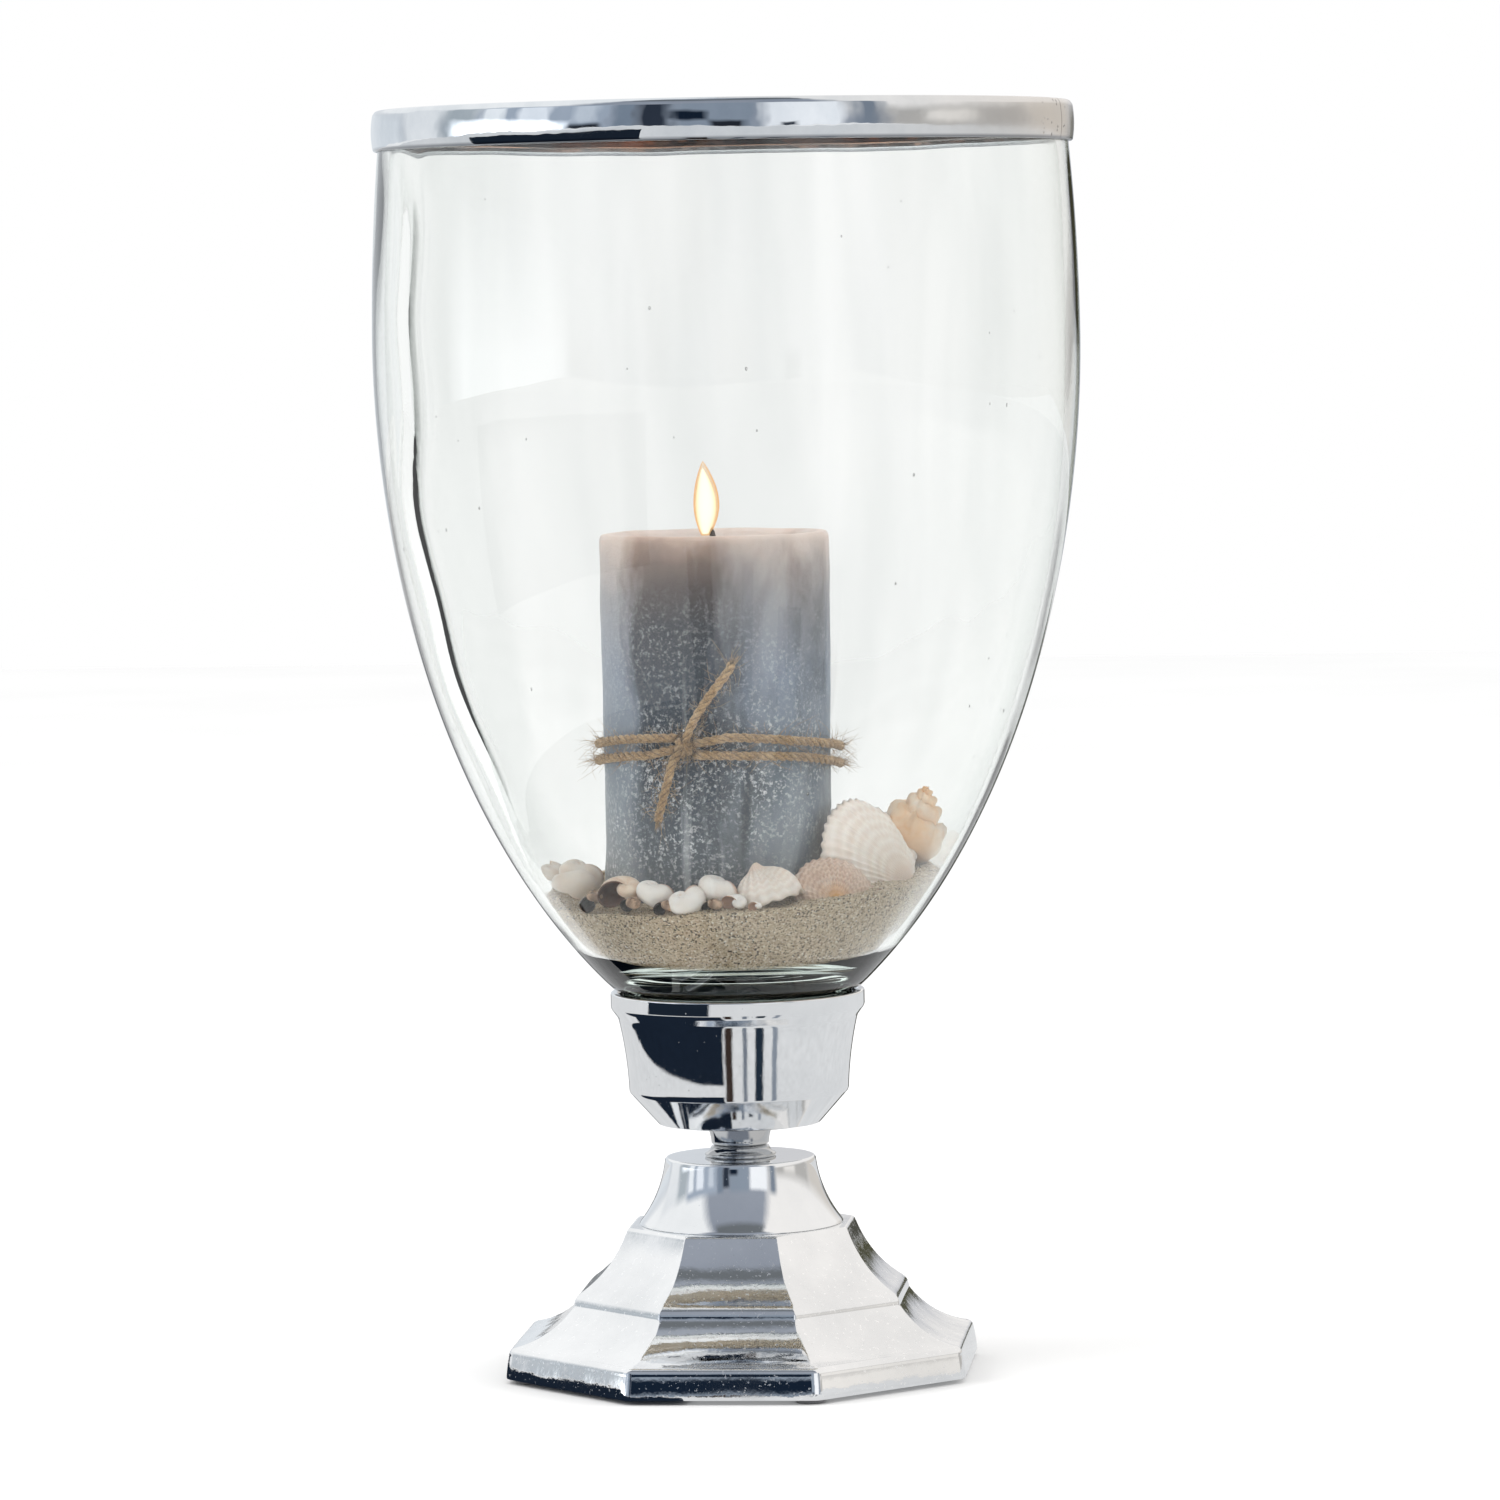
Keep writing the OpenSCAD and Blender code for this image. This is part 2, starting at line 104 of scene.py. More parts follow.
class Nodes:
    """The few texture and maths nodes that the materials and the world are made from."""

    def __init__(self, tree, coordinate):
        self.tree = tree
        self.place = self.node("TexCoord").outputs[coordinate]

    def node(self, kind, **inputs):
        """A new shader node. Its inputs are given by name, with _ for a space."""
        n = self.tree.nodes.new("ShaderNode" + kind)
        for name, value in inputs.items():
            self.fill(n.inputs[name.replace("_", " ")], value)
        return n

    def fill(self, socket, value):
        """Links another node's output to a socket, or sets the socket. Colours come without their alpha."""
        if isinstance(value, bpy.types.NodeSocket):
            self.tree.links.new(value, socket)
        elif socket.type == "RGBA":
            socket.default_value = (*value, 1)
        else:
            socket.default_value = value

    def stretched(self, scale):
        return self.node("Mapping", Scale=scale, Vector=self.place).outputs["Vector"]

    def noise(self, scale, detail=4, roughness=0.55, place=None, warp=0.0):
        return self.node("TexNoise", Scale=scale, Detail=detail, Roughness=roughness, Distortion=warp,
                         Vector=place or self.place).outputs["Fac"]

    def cells(self, scale, output="Distance"):
        return self.node("TexVoronoi", Scale=scale, Vector=self.place).outputs[output]

    def ramp(self, factor, *stops):
        """Colour ramp of (position, colour) stops. A colour may be one grey number."""
        n = self.node("ValToRGB", Fac=factor)
        elements = n.color_ramp.elements
        while len(elements) < len(stops):
            elements.new(0.5)
        for element, (position, color) in zip(elements, stops):
            element.position = position
            element.color = (*color, 1) if isinstance(color, tuple) else (color, color, color, 1)
        return n.outputs["Color"]

    def mix(self, factor, a, b, mode="MIX"):
        n = self.node("Mix")
        n.data_type = "RGBA"
        n.blend_type = mode
        for k, value in ((0, factor), (6, a), (7, b)):
            self.fill(n.inputs[k], value)
        return n.outputs[2]

    def math(self, operation, a, b=0.0):
        n = self.node("Math")
        n.operation = operation
        self.fill(n.inputs[0], a)
        self.fill(n.inputs[1], b)
        return n.outputs[0]

    def times(self, a, b):
        return self.math("MULTIPLY", a, b)

    def plus(self, a, b):
        return self.math("ADD", a, b)

    def span(self, value, low, high):
        """value mapped from low..high to 0..1, clamped."""
        return self.node("MapRange", From_Min=low, From_Max=high, Value=value).outputs["Result"]

    def axis(self, name, place=None):
        return self.node("SeparateXYZ", Vector=place or self.place).outputs[name]

    def within(self, value, low, high, soft):
        """1 where value lies between low and high, fading to 0 over soft on either side."""
        rise = self.span(value, low - soft, low + soft)
        fall = self.span(value, high + soft, high - soft)
        return self.math("MINIMUM", rise, fall)

    def bump(self, height, strength, depth, under=None):
        """Relief of a height, on top of the relief under it."""
        n = self.node("Bump", Strength=strength, Distance=depth, Height=height)
        if under:
            self.fill(n.inputs["Normal"], under)
        return n.outputs["Normal"]

    def show_mixed(self, output, factor, first, second):
        """Joins two shader nodes and shows them on an output node."""
        n = self.node("MixShader")
        for socket, value in zip(n.inputs, (factor, first.outputs[0], second.outputs[0])):
            self.fill(socket, value)
        self.fill(self.tree.nodes[output].inputs["Surface"], n.outputs[0])


class Shader(Nodes):
    """A Principled material."""

    NAMES = {
        "color": "Base Color", "ior": "IOR", "transmission": "Transmission Weight",
        "subsurface": "Subsurface Weight", "scatter": "Subsurface Scale", "radius": "Subsurface Radius",
        "sheen": "Sheen Weight", "specular": "Specular IOR Level", "emission": "Emission Color",
        "emission_strength": "Emission Strength",
    }

    def __init__(self, name, **values):
        self.material = bpy.data.materials.new(name)
        self.material.use_nodes = True
        super().__init__(self.material.node_tree, "Object")
        self.set(**values)

    def set(self, **values):
        inputs = self.tree.nodes["Principled BSDF"].inputs
        for key, value in values.items():
            self.fill(inputs[self.NAMES.get(key, key.capitalize())], value)


# ---------- materials ----------

def polished_metal(name, wear=1.0, tone=1.0):
    """Buffed cast aluminium: near-mirror, with polishing scratches, haze and a few casting pits."""
    s = Shader(name, metallic=1.0)
    haze = s.noise(38, 5, 0.6)
    scratches = s.noise(1, 6, 0.7, s.stretched((900, 900, 140)))
    pits = s.cells(420)
    spots = s.ramp(pits, (0.035, 0.0), (0.075, 1.0))
    s.set(
        color=s.mix(s.span(haze, 0.35, 0.75), (0.90 * tone, 0.91 * tone, 0.92 * tone),
                    (0.80 * tone, 0.815 * tone, 0.83 * tone)),
        roughness=s.plus(s.times(s.span(haze, 0.4, 0.8), 0.05 * wear),
                         s.times(s.span(scratches, 0.5, 0.9), 0.10 * wear)),
    )
    scratched = s.bump(scratches, 0.05 * wear, 0.0002)
    pitted = s.bump(spots, 0.12 * wear, 0.0003, scratched)
    s.set(normal=s.bump(s.noise(60, 2), 0.05 * wear, 0.001, pitted))
    return s.material


def cast_metal():
    """The foot's hand-buffed casting: the polish over a fine orange peel, with pinholes and bright specks."""
    s = Shader("cast_metal", metallic=1.0)
    haze = s.noise(26, 5, 0.65)
    peel = s.noise(240, 3)
    scratches = s.noise(1, 6, 0.7, s.stretched((700, 700, 160)))
    pinholes = s.ramp(s.cells(520), (0.04, 0.0), (0.09, 1.0))
    specks = s.math("GREATER_THAN", s.noise(900, 2, 0.5), 0.66)
    tone = s.mix(s.span(haze, 0.35, 0.7), (0.93, 0.935, 0.94), (0.79, 0.80, 0.81))
    s.set(
        color=s.mix(s.times(specks, 0.8), tone, (1.0, 1.0, 1.0)),
        roughness=s.plus(s.times(s.span(haze, 0.38, 0.75), 0.13),
                         s.times(specks, 0.25)),
    )
    peeled = s.bump(peel, 0.10, 0.0005, s.bump(scratches, 0.06, 0.0002))
    s.set(normal=s.bump(s.noise(34, 2), 0.22, 0.002, s.bump(pinholes, 0.22, 0.0003, peeled)))
    return s.material


def rim_metal():
    """Rolled band: tarnished inside, darker along its lower edge, with pits near an upright seam on its
    right.
    """
    s = Shader("rim_metal", metallic=1.0)
    x, y, z = s.axis("X"), s.axis("Y"), s.axis("Z")
    angle = s.math("ARCTAN2", y, x)
    away = s.math("SQRT", s.plus(s.times(x, x), s.times(y, y)))
    seam = s.within(angle, SEAM_ANGLE - 0.003, SEAM_ANGLE + 0.003, 0.003)
    near_seam = s.within(angle, SEAM_ANGLE - 0.12, SEAM_ANGLE + 0.05, 0.06)
    dull = s.within(angle, SEAM_ANGLE - 0.55, SEAM_ANGLE + 0.4, 0.4)
    pits = s.ramp(s.cells(360), (0.08, 0.0), (0.20, 1.0))
    haze = s.noise(60, 4, 0.6)
    pitted = s.mix(near_seam, (1.0, 1.0, 1.0), pits)
    inner = s.span(away, (MOUTH_R - 0.4) * MM, (MOUTH_R - 1.4) * MM)
    low_edge = s.span(z, (BAND_LOW + 1.3) * MM, (BAND_LOW + 0.5) * MM)
    bright = s.mix(s.span(haze, 0.3, 0.8), (0.82, 0.845, 0.87), (0.64, 0.68, 0.72))
    warm = s.mix(s.times(dull, 0.8), bright, (0.74, 0.70, 0.66))
    seamed = s.mix(s.times(seam, 0.75), warm, (0.10, 0.09, 0.08))
    holes = s.times(near_seam, s.math("SUBTRACT", 1.0, s.axis("X", pits)))
    specked = s.mix(holes, seamed, (0.13, 0.10, 0.08))
    tarnish = s.ramp(s.noise(18, 2), (0.35, (0.13, 0.12, 0.115)), (0.5, (0.46, 0.27, 0.18)),
                     (0.62, (0.20, 0.18, 0.17)))
    s.set(
        color=s.mix(inner, s.mix(s.times(low_edge, 0.7), specked, (0.12, 0.13, 0.15)), tarnish),
        roughness=s.plus(s.times(s.span(haze, 0.4, 0.8), 0.09),
                         s.times(dull, 0.22)),
        normal=s.bump(pitted, 0.5, 0.0006, s.bump(s.noise(90, 2), 0.14, 0.001)),
    )
    return s.material


def zinc_steel():
    s = Shader("zinc_steel", metallic=1.0)
    haze = s.noise(200, 4)
    plated = s.ramp(haze, (0.3, (0.50, 0.52, 0.54)), (0.7, (0.68, 0.69, 0.70)))
    s.set(
        color=s.mix(0.12, plated, s.cells(900, "Color")),
        roughness=s.plus(s.times(haze, 0.25), 0.2),
        normal=s.bump(haze, 0.15, 0.0004),
    )
    return s.material


def grained(s, grain, dark, pale, strength, depth):
    """Colours a shader and gives it relief by one fine grain, from dark to pale (position, colour) stops."""
    s.set(color=s.ramp(grain, dark, pale), normal=s.bump(grain, strength, depth))
    return s.material


def black_rubber():
    s = Shader("black_rubber")
    grain = s.noise(1400, 3)
    s.set(roughness=s.plus(s.times(grain, 0.2), 0.4))
    return grained(s, grain, (0.3, (0.012, 0.012, 0.012)), (0.8, (0.035, 0.034, 0.032)), 0.2, 0.0003)


def grey_felt():
    s = Shader("grey_felt", sheen=0.4, roughness=0.95)
    fibres = s.noise(1800, 6, 0.7, warp=1.5)
    return grained(s, fibres, (0.3, (0.06, 0.06, 0.065)), (0.7, (0.16, 0.16, 0.17)), 0.6, 0.0005)


def blown_glass():
    """Clear soda glass: faintly green in depth, with painted shade turning it dark green to near black where
    it is seen edge on, painted grey streaks that stand in for the room seen through it, and a soft ripple.
    """
    s = Shader("blown_glass", roughness=0.0, ior=1.5, transmission=1.0)
    facing = s.node("LayerWeight", Blend=0.5).outputs["Facing"]
    # Painted reflection: soft grey upright streaks in the tint stand in for the blurred room seen through the
    # glass.
    haze = s.span(s.noise(1, 3, 0.5, s.stretched((26, 26, 3.5)), 0.6), 0.42, 0.66)
    clear = s.mix(haze, (0.982, 0.984, 0.980), (0.895, 0.905, 0.90))
    # Painted shade: the tint darkens to near black as the glass turns edge on, standing in for the long path
    # of light through the wall there.
    edge = s.ramp(facing, (0.0, 1.0), (0.70, (0.975, 0.982, 0.976)), (0.88, (0.74, 0.79, 0.76)),
                  (0.95, (0.22, 0.28, 0.23)), (0.985, (0.02, 0.05, 0.03)))
    ripple = s.noise(1, 2, 0.4, s.stretched((16, 16, 7)))
    s.set(color=s.mix(1.0, clear, edge, "MULTIPLY"), normal=s.bump(ripple, 0.10, 0.004))
    absorb = s.node("VolumeAbsorption", Color=(0.62, 0.86, 0.74), Density=5.0)
    s.fill(s.tree.nodes["Material Output"].inputs["Volume"], absorb.outputs["Volume"])
    return s.material


def air_seed():
    """An air bubble caught in the glass."""
    s = Shader("air_seed", roughness=0.0, ior=0.67, transmission=1.0)
    s.set(color=s.ramp(s.noise(300), (0.3, 0.9), (0.7, 1.0)))
    return s.material


def beach_sand():
    s = Shader("beach_sand", roughness=0.9)
    grain = s.cells(2100, "Color")
    patch = s.noise(45, 3)
    grains = s.ramp(s.axis("X", grain), (0.0, (0.36, 0.26, 0.16)), (0.3, (0.58, 0.45, 0.30)),
                    (0.7, (0.72, 0.585, 0.41)), (0.94, (0.86, 0.75, 0.59)), (1.0, (1.0, 0.96, 0.88)))
    dark = s.ramp(s.axis("Y", grain), (0.86, 0.0), (0.90, 1.0))
    speckled = s.mix(dark, grains, (0.055, 0.035, 0.02))
    s.set(
        color=s.mix(s.times(s.span(patch, 0.4, 0.8), 0.35), speckled, (0.70, 0.58, 0.43)),
        normal=s.bump(s.cells(2100), 0.9, 0.0005, s.bump(patch, 0.3, 0.003)),
    )
    return s.material


def shell(name, pale, deep, bands=0.0, gloss=0.35, scale=1.0, hinge=None, mouth=None):
    """Chalky shell, with growth lines along V and its own colours at the hinge or spire and in the mouth."""
    s = Shader(name, subsurface=0.08, scatter=0.0015, radius=(1.0, 0.7, 0.5))
    v = s.axis("Y", s.node("TexCoord").outputs["UV"])
    blotch = s.noise(260 * scale, 4, 0.6, warp=0.6)
    wave = s.math("SINE", s.times(s.plus(v, s.times(blotch, 0.06)), 58.0))
    growth = s.span(wave, -1.0, 1.0)
    banded = s.mix(s.times(growth, bands), pale, deep)
    mottled = s.mix(s.times(s.span(blotch, 0.48, 0.72), bands), banded, deep)
    tipped = s.mix(s.span(v, 0.42, 0.02), mottled, hinge or deep)
    worn = s.mix(s.times(s.span(s.noise(120 * scale, 3), 0.55, 0.75), 0.5), tipped, (0.90, 0.86, 0.81))
    s.set(
        color=s.mix(s.span(v, 0.985, 0.999), worn, mouth) if mouth else worn,
        roughness=s.plus(s.times(blotch, 0.25), 0.6 - gloss),
        normal=s.bump(growth, 0.3, 0.0004, s.bump(s.noise(1500, 3), 0.2, 0.0003)),
    )
    return s.material


def rustic_wax():
    """Slate-blue wax: painted rosy flame light towards the top, painted side light that makes it paler at the
    left and right, darkest in the middle, frosted and streaked below.
    """
    s = Shader("rustic_wax", subsurface=0.12, scatter=0.004, radius=(1.0, 0.6, 0.45), specular=0.4)
    z = s.axis("Z")
    around = s.math("ARCTAN2", s.math("SUBTRACT", s.axis("X"), CANDLE_MIDDLE.x),
                    s.math("SUBTRACT", CANDLE_MIDDLE.y, s.axis("Y")))
    drift = s.noise(24, 4, 0.6)
    level = s.plus(z, s.times(s.math("SUBTRACT", drift, 0.5), 0.02))
    # Towards the top both ramps turn rosy and pale: painted light from the flame.
    deep = s.ramp(
        s.span(level, 0.15, CANDLE_TOP),
        (0.0, (0.15, 0.17, 0.195)), (0.18, (0.085, 0.105, 0.13)), (0.36, (0.026, 0.040, 0.060)),
        (0.60, (0.020, 0.034, 0.056)), (0.76, (0.032, 0.036, 0.049)), (0.86, (0.08, 0.06, 0.057)),
        (0.93, (0.19, 0.135, 0.115)), (0.975, (0.40, 0.285, 0.23)), (1.0, (0.62, 0.46, 0.38)),
    )
    pale = s.ramp(
        s.span(level, 0.15, CANDLE_TOP),
        (0.0, (0.37, 0.40, 0.43)), (0.35, (0.26, 0.31, 0.37)), (0.62, (0.30, 0.345, 0.43)),
        (0.86, (0.42, 0.41, 0.43)), (1.0, (0.74, 0.63, 0.57)),
    )
    patchy = s.noise(1, 4, 0.6, s.stretched((48, 48, 20)), 0.4)
    # Painted side light: the wax is made paler towards its left and right as seen from the camera, on top of
    # random pale patches.
    right = s.times(s.span(around, 0.05, 0.55), 0.66)
    sides = s.math("MAXIMUM", s.span(around, -0.50, -0.95), right)
    painted_side_light_and_patches = s.span(s.plus(patchy, s.times(sides, 0.42)), 0.52, 0.84)
    slate = s.mix(s.times(painted_side_light_and_patches, 0.85), deep, pale)
    low = s.span(z, CANDLE_TOP - 0.012, CANDLE_TOP - 0.07)
    frost_cloud = s.noise(40, 5, 0.65, warp=0.4)
    flecks = s.noise(760, 5, 0.8)
    frost = s.times(s.span(flecks, 0.525, 0.59), s.times(s.span(frost_cloud, 0.36, 0.62), low))
    streaks = s.times(s.span(s.noise(1, 4, 0.6, s.stretched((190, 190, 11))), 0.58, 0.70), low)
    slanted = s.plus(around, s.times(s.math("SUBTRACT", z, 0.19), -2.6))
    crack = s.times(s.within(slanted, 0.345, 0.42, 0.03), s.within(z, 0.16, 0.187, 0.006))
    frosted = s.mix(s.times(frost, 0.9), slate, (0.80, 0.82, 0.84))
    streaked = s.mix(s.times(streaks, 0.45), frosted, (0.66, 0.69, 0.73))
    s.set(
        color=s.mix(s.times(crack, 0.8), streaked, (0.05, 0.06, 0.07)),
        roughness=s.plus(s.times(flecks, 0.3), 0.30),
        normal=s.bump(flecks, 0.5, 0.0007, s.bump(frost_cloud, 0.35, 0.0018)),
    )
    return s.material


def melted_wax():
    s = Shader("melted_wax", transmission=0.35, roughness=0.05, ior=1.44, subsurface=0.3, scatter=0.004)
    return grained(s, s.noise(120, 3), (0.3, (0.62, 0.46, 0.40)), (0.7, (0.85, 0.68, 0.58)), 0.1, 0.0004)


def charred_wick():
    s = Shader("charred_wick", roughness=0.9)
    braid = s.noise(1, 3, 0.5, s.stretched((900, 900, 2200)))
    return grained(s, braid, (0.3, (0.012, 0.010, 0.009)), (0.75, (0.10, 0.06, 0.04)), 0.8, 0.0005)


def jute():
    """Twisted jute: fibres along the plies, and painted shade from ambient occlusion where the plies meet."""
    s = Shader("jute", sheen=0.3, roughness=0.9)
    fibres = s.noise(1, 4, 0.65, s.stretched((1500, 1500, 2400)), 1.2)
    patches = s.noise(260, 3)
    # Painted shade: ambient occlusion darkens the colour where the plies meet.
    painted_ply_shade = s.node("AmbientOcclusion", Distance=0.0026).outputs["AO"]
    strand = s.mix(s.span(fibres, 0.36, 0.64), (0.20, 0.11, 0.05), (0.70, 0.48, 0.26))
    worn = s.mix(s.times(s.span(patches, 0.45, 0.75), 0.4), strand, (0.84, 0.64, 0.40))
    s.set(
        color=s.mix(s.span(painted_ply_shade, 0.25, 0.85), (0.07, 0.035, 0.015), worn),
        normal=s.bump(fibres, 0.7, 0.0005),
    )
    return s.material


def glow(name, middle, edge, strength, clear):
    """A burning part of the flame: its colours face on and at its edge, and how clear it is face on."""
    s = Shader(name)
    facing = s.node("LayerWeight", Blend=0.35).outputs["Facing"]
    fire = s.node("Emission", Strength=strength, Color=s.ramp(facing, (0.1, middle), (0.8, edge)))
    thickness = s.ramp(facing, (0.0, 1 - clear), (0.65, 0.9), (0.98, 0.0))
    s.show_mixed("Material Output", thickness, s.node("BsdfTransparent"), fire)
    return s.material


# ---------- mesh helpers ----------

def mesh_of(name, verts, faces):
    mesh = bpy.data.meshes.new(name)
    mesh.from_pydata([tuple(v) for v in verts], [], faces)
    return mesh


def piece(name, shape, material, body, replaces=(), smooth=True, mapped=False, crisp=False):
    """A mesh piece in the row frame, riding on a body. A shape is (verts, faces) or (verts, faces, uvs).

    mapped keeps the uvs, and crisp keeps flat faces flat beside small fillets.
    """
    mesh = mesh_of(name, *shape[:2])
    facing = bmesh.new()
    facing.from_mesh(mesh)
    bmesh.ops.recalc_face_normals(facing, faces=facing.faces)
    facing.to_mesh(mesh)
    facing.free()
    if smooth:
        mesh.shade_smooth()
    if mapped:
        layer = mesh.uv_layers.new(name="UVMap")
        corner = np.empty(len(mesh.loops), dtype=np.int32)
        mesh.loops.foreach_get("vertex_index", corner)
        layer.data.foreach_set("uv", np.asarray(shape[2], dtype=np.float32)[corner].ravel())
    mesh.materials.append(material)
    obj = in_scene(name, mesh)
    if crisp:
        weighted = obj.modifiers.new("weighted", "WEIGHTED_NORMAL")
        weighted.weight = 100
    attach(obj, body)
    if replaces:
        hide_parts(*replaces)
    return obj


def uneven(x, y, z):
    """Smooth noise between -1 and 1."""
    return noise.noise(Vector((x, y, z)))


def share(value, low, high):
    """How far value is from low to high, between 0 and 1."""
    return min(1.0, max(0.0, (value - low) / (high - low)))


def grid_faces(rows, columns, wrap_rows=False, wrap_columns=True, start=0):
    """Quads of a grid of rows by columns, numbered row by row."""
    faces = []
    for i in range(rows if wrap_rows else rows - 1):
        below = (i + 1) % rows
        for j in range(columns if wrap_columns else columns - 1):
            beside = (j + 1) % columns
            faces.append((start + i * columns + j, start + i * columns + beside,
                          start + below * columns + beside, start + below * columns + j))
    return faces


def capped(rows, columns):
    """Faces of a closed tube: a grid that runs round it, and an end face on its first and its last row."""
    last = (rows - 1) * columns
    return grid_faces(rows, columns) + [tuple(range(columns - 1, -1, -1)), tuple(range(last, last + columns))]


def arc(a, b, bulge, n, *corner):
    """Points of a circular arc from a to b, each with a corner radius after it if one is given.

    A positive bulge lies to the left of the way from a to b.
    """
    a, b = Vector(a), Vector(b)
    chord = (b - a).length
    depth = abs(bulge)
    r = (chord * chord / 4 + depth * depth) / (2 * depth)
    left = Vector((a.y - b.y, b.x - a.x)) / chord * (1 if bulge > 0 else -1)
    centre = (a + b) / 2 - left * (r - depth)
    start = atan2(a.y - centre.y, a.x - centre.x)
    sweep = (atan2(b.y - centre.y, b.x - centre.x) - start + pi) % TAU - pi
    turns = [start + sweep * i / n for i in range(n + 1)]
    return [(centre.x + r * cos(turn), centre.y + r * sin(turn), *corner) for turn in turns]


def rounded(points):
    """A closed outline of (x, y, corner radius) with each corner turned into an arc."""
    steps = 4
    out = []
    n = len(points)
    for i, (x, y, radius) in enumerate(points):
        here = Vector((x, y))
        before = Vector(points[i - 1][:2]) - here
        after = Vector(points[(i + 1) % n][:2]) - here
        if radius <= 0 or before.length == 0 or after.length == 0:
            out.append((x, y))
            continue
        reach = min(radius, before.length * 0.45, after.length * 0.45)
        a = here + before.normalized() * reach
        b = here + after.normalized() * reach
        for k in range(steps + 1):
            t = k / steps
            out.append(tuple(a * (1 - t) ** 2 + here * 2 * t * (1 - t) + b * t * t))
    return out


def lathe(outline, segments, shape=None):
    """Closed outline of (r, z) in mm, turned round the axis. shape(r, z, angle) may move a point."""
    verts = []
    for r, z in outline:
        for j in range(segments):
            angle = TAU * j / segments
            rr, zz = shape(r, z, angle) if shape else (r, z)
            verts.append((rr * cos(angle) * MM, rr * sin(angle) * MM, zz * MM))
    return verts, grid_faces(len(outline), segments, wrap_rows=True)


def frames_along(path):
    """Two crosswise directions at each point of a path, which follow its bends without spinning."""
    side = (path[1] - path[0]).normalized().orthogonal().normalized()
    for i in range(len(path)):
        ahead = (path[min(i + 1, len(path) - 1)] - path[max(i - 1, 0)]).normalized()
        side = (side - ahead * side.dot(ahead)).normalized()
        yield side, ahead.cross(side)


def tube(path, radius, sides=12):
    """Closed tube along points. radius is one number or one for each point."""
    radii = radius if isinstance(radius, list) else [radius] * len(path)
    verts, uvs = [], []
    for i, (side, up) in enumerate(frames_along(path)):
        for k in range(sides):
            a = TAU * k / sides
            verts.append(path[i] + (side * cos(a) + up * sin(a)) * radii[i])
            uvs.append((k / sides, i / len(path)))
    return verts, capped(len(path), sides), uvs


def joined(parts):
    """One (verts, faces, uvs) of several."""
    verts, faces, uvs = [], [], []
    for v, f, u in parts:
        start = len(verts)
        verts += v
        faces += [tuple(i + start for i in face) for face in f]
        uvs += u
    return verts, faces, uvs


def smooth_path(points, per_span=8):
    """Catmull-Rom points through the given ones."""
    pts = [Vector(p) for p in points]
    pts = [pts[0] * 2 - pts[1]] + pts + [pts[-1] * 2 - pts[-2]]
    out = []
    for i in range(1, len(pts) - 2):
        a, b, c, d = pts[i - 1:i + 3]
        for k in range(per_span):
            t = k / per_span
            out.append(0.5 * ((b * 2) + (c - a) * t + (a * 2 - b * 5 + c * 4 - d) * t * t
                              + (b * 3 - a - c * 3 + d) * t ** 3))
    out.append(pts[-2])
    return out


# ---------- stand ----------

metal = polished_metal("polished_metal")
FOOT_LOW, FOOT_HIGH = (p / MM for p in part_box("foot"))
FOOT_R = FOOT_HIGH.x / cos(radians(22.5))
FOOT_TOP = FOOT_HIGH.z
BOLT_HOLE_R = 4.25


def octagon_ring(r, fillet):
    """Points round an octagon of corner radius r, its corners rounded to fillet, flats facing the axes."""
    steps = 6
    corners = []
    for k in range(8):
        middle = radians(22.5 + 45 * k)
        centre = Vector((cos(middle), sin(middle))) * (r - fillet / cos(radians(22.5)))
        turns = [middle + radians(-22.5 + 45 * j / steps) for j in range(steps + 1)]
        corners.append([centre + Vector((cos(a), sin(a))) * fillet for a in turns])
    ring = []
    for corner, following in zip(corners, corners[1:] + corners[:1]):
        ring += corner + [corner[-1].lerp(following[0], j / (steps + 1)) for j in range(1, steps + 1)]
    return ring


def make_foot():
    low = FOOT_LOW.z
    outer = (
        [(FOOT_R - 0.6, low, 4.4), (FOOT_R - 0.15, low + 0.15, 4.8), (FOOT_R, low + 0.5, 5.0)]
        + arc((FOOT_R, low + 1.0), (FOOT_R - 0.9, 8.2), -0.1, 5, 5.0)
        + arc((FOOT_R - 1.0, 8.5), (FOOT_R - 3.2, 10.8), -0.7, 7, 4.6)
        + arc((FOOT_R - 3.5, 10.9), (FOOT_R - 21.9, 22.4), 2, 22, 2.6)
        + arc((FOOT_R - 22.05, 22.7), (FOOT_R - 24, 26.1), -0.5, 6, 1.4)
        + arc((FOOT_R - 24.2, 26.3), (FOOT_R - 39, FOOT_TOP - 1.6), 1.8, 22, 1.2)
        + arc((FOOT_R - 39.15, FOOT_TOP - 1.3), (FOOT_R - 40.6, FOOT_TOP), -0.35, 5, 1.5)
    )
    web = FOOT_TOP - 3.5
    inner = [(32, web, 4), (FOOT_R - 29, 25, 3), (FOOT_R - 26.5, 20, 3), (FOOT_R - 15.5, 7, 3),
             (FOOT_R - 15.4, low + 0.4, 3), (FOOT_R - 15, low, 3)]
    rings = [octagon_ring(r, fillet) for r, z, fillet in outer]
    heights = [z for r, z, fillet in outer]
    count = len(rings[0])
    for r, z in ((20, FOOT_TOP), (BOLT_HOLE_R, FOOT_TOP), (BOLT_HOLE_R, web), (20, web)):
        rings.append([p.normalized() * r for p in rings[0]])
        heights.append(z)
    for r, z, fillet in inner:
        rings.append(octagon_ring(r, fillet))
        heights.append(z)
    verts = [(p.x * MM, p.y * MM, z * MM) for ring, z in zip(rings, heights) for p in ring]
    wavy, full_wobble_r = [], 0.06
    for x, y, z in verts:
        place = Vector((x, y, z))
        wobble = (noise.noise(place * 55) * 0.16 + noise.noise(place * 170) * 0.03) * MM
        grown = 1 + wobble / full_wobble_r
        wavy.append((x * grown, y * grown, z))
    shape = wavy, grid_faces(len(rings), count, wrap_rows=True)
    piece("foot_casting", shape, cast_metal(), "stand", ["foot"], crisp=True)


make_foot()


def turned(name, outline, node, segments=160, shape=None, material=None, body="stand"):
    piece(name, lathe(outline, segments, shape), material or metal, body, [node], crisp=True)


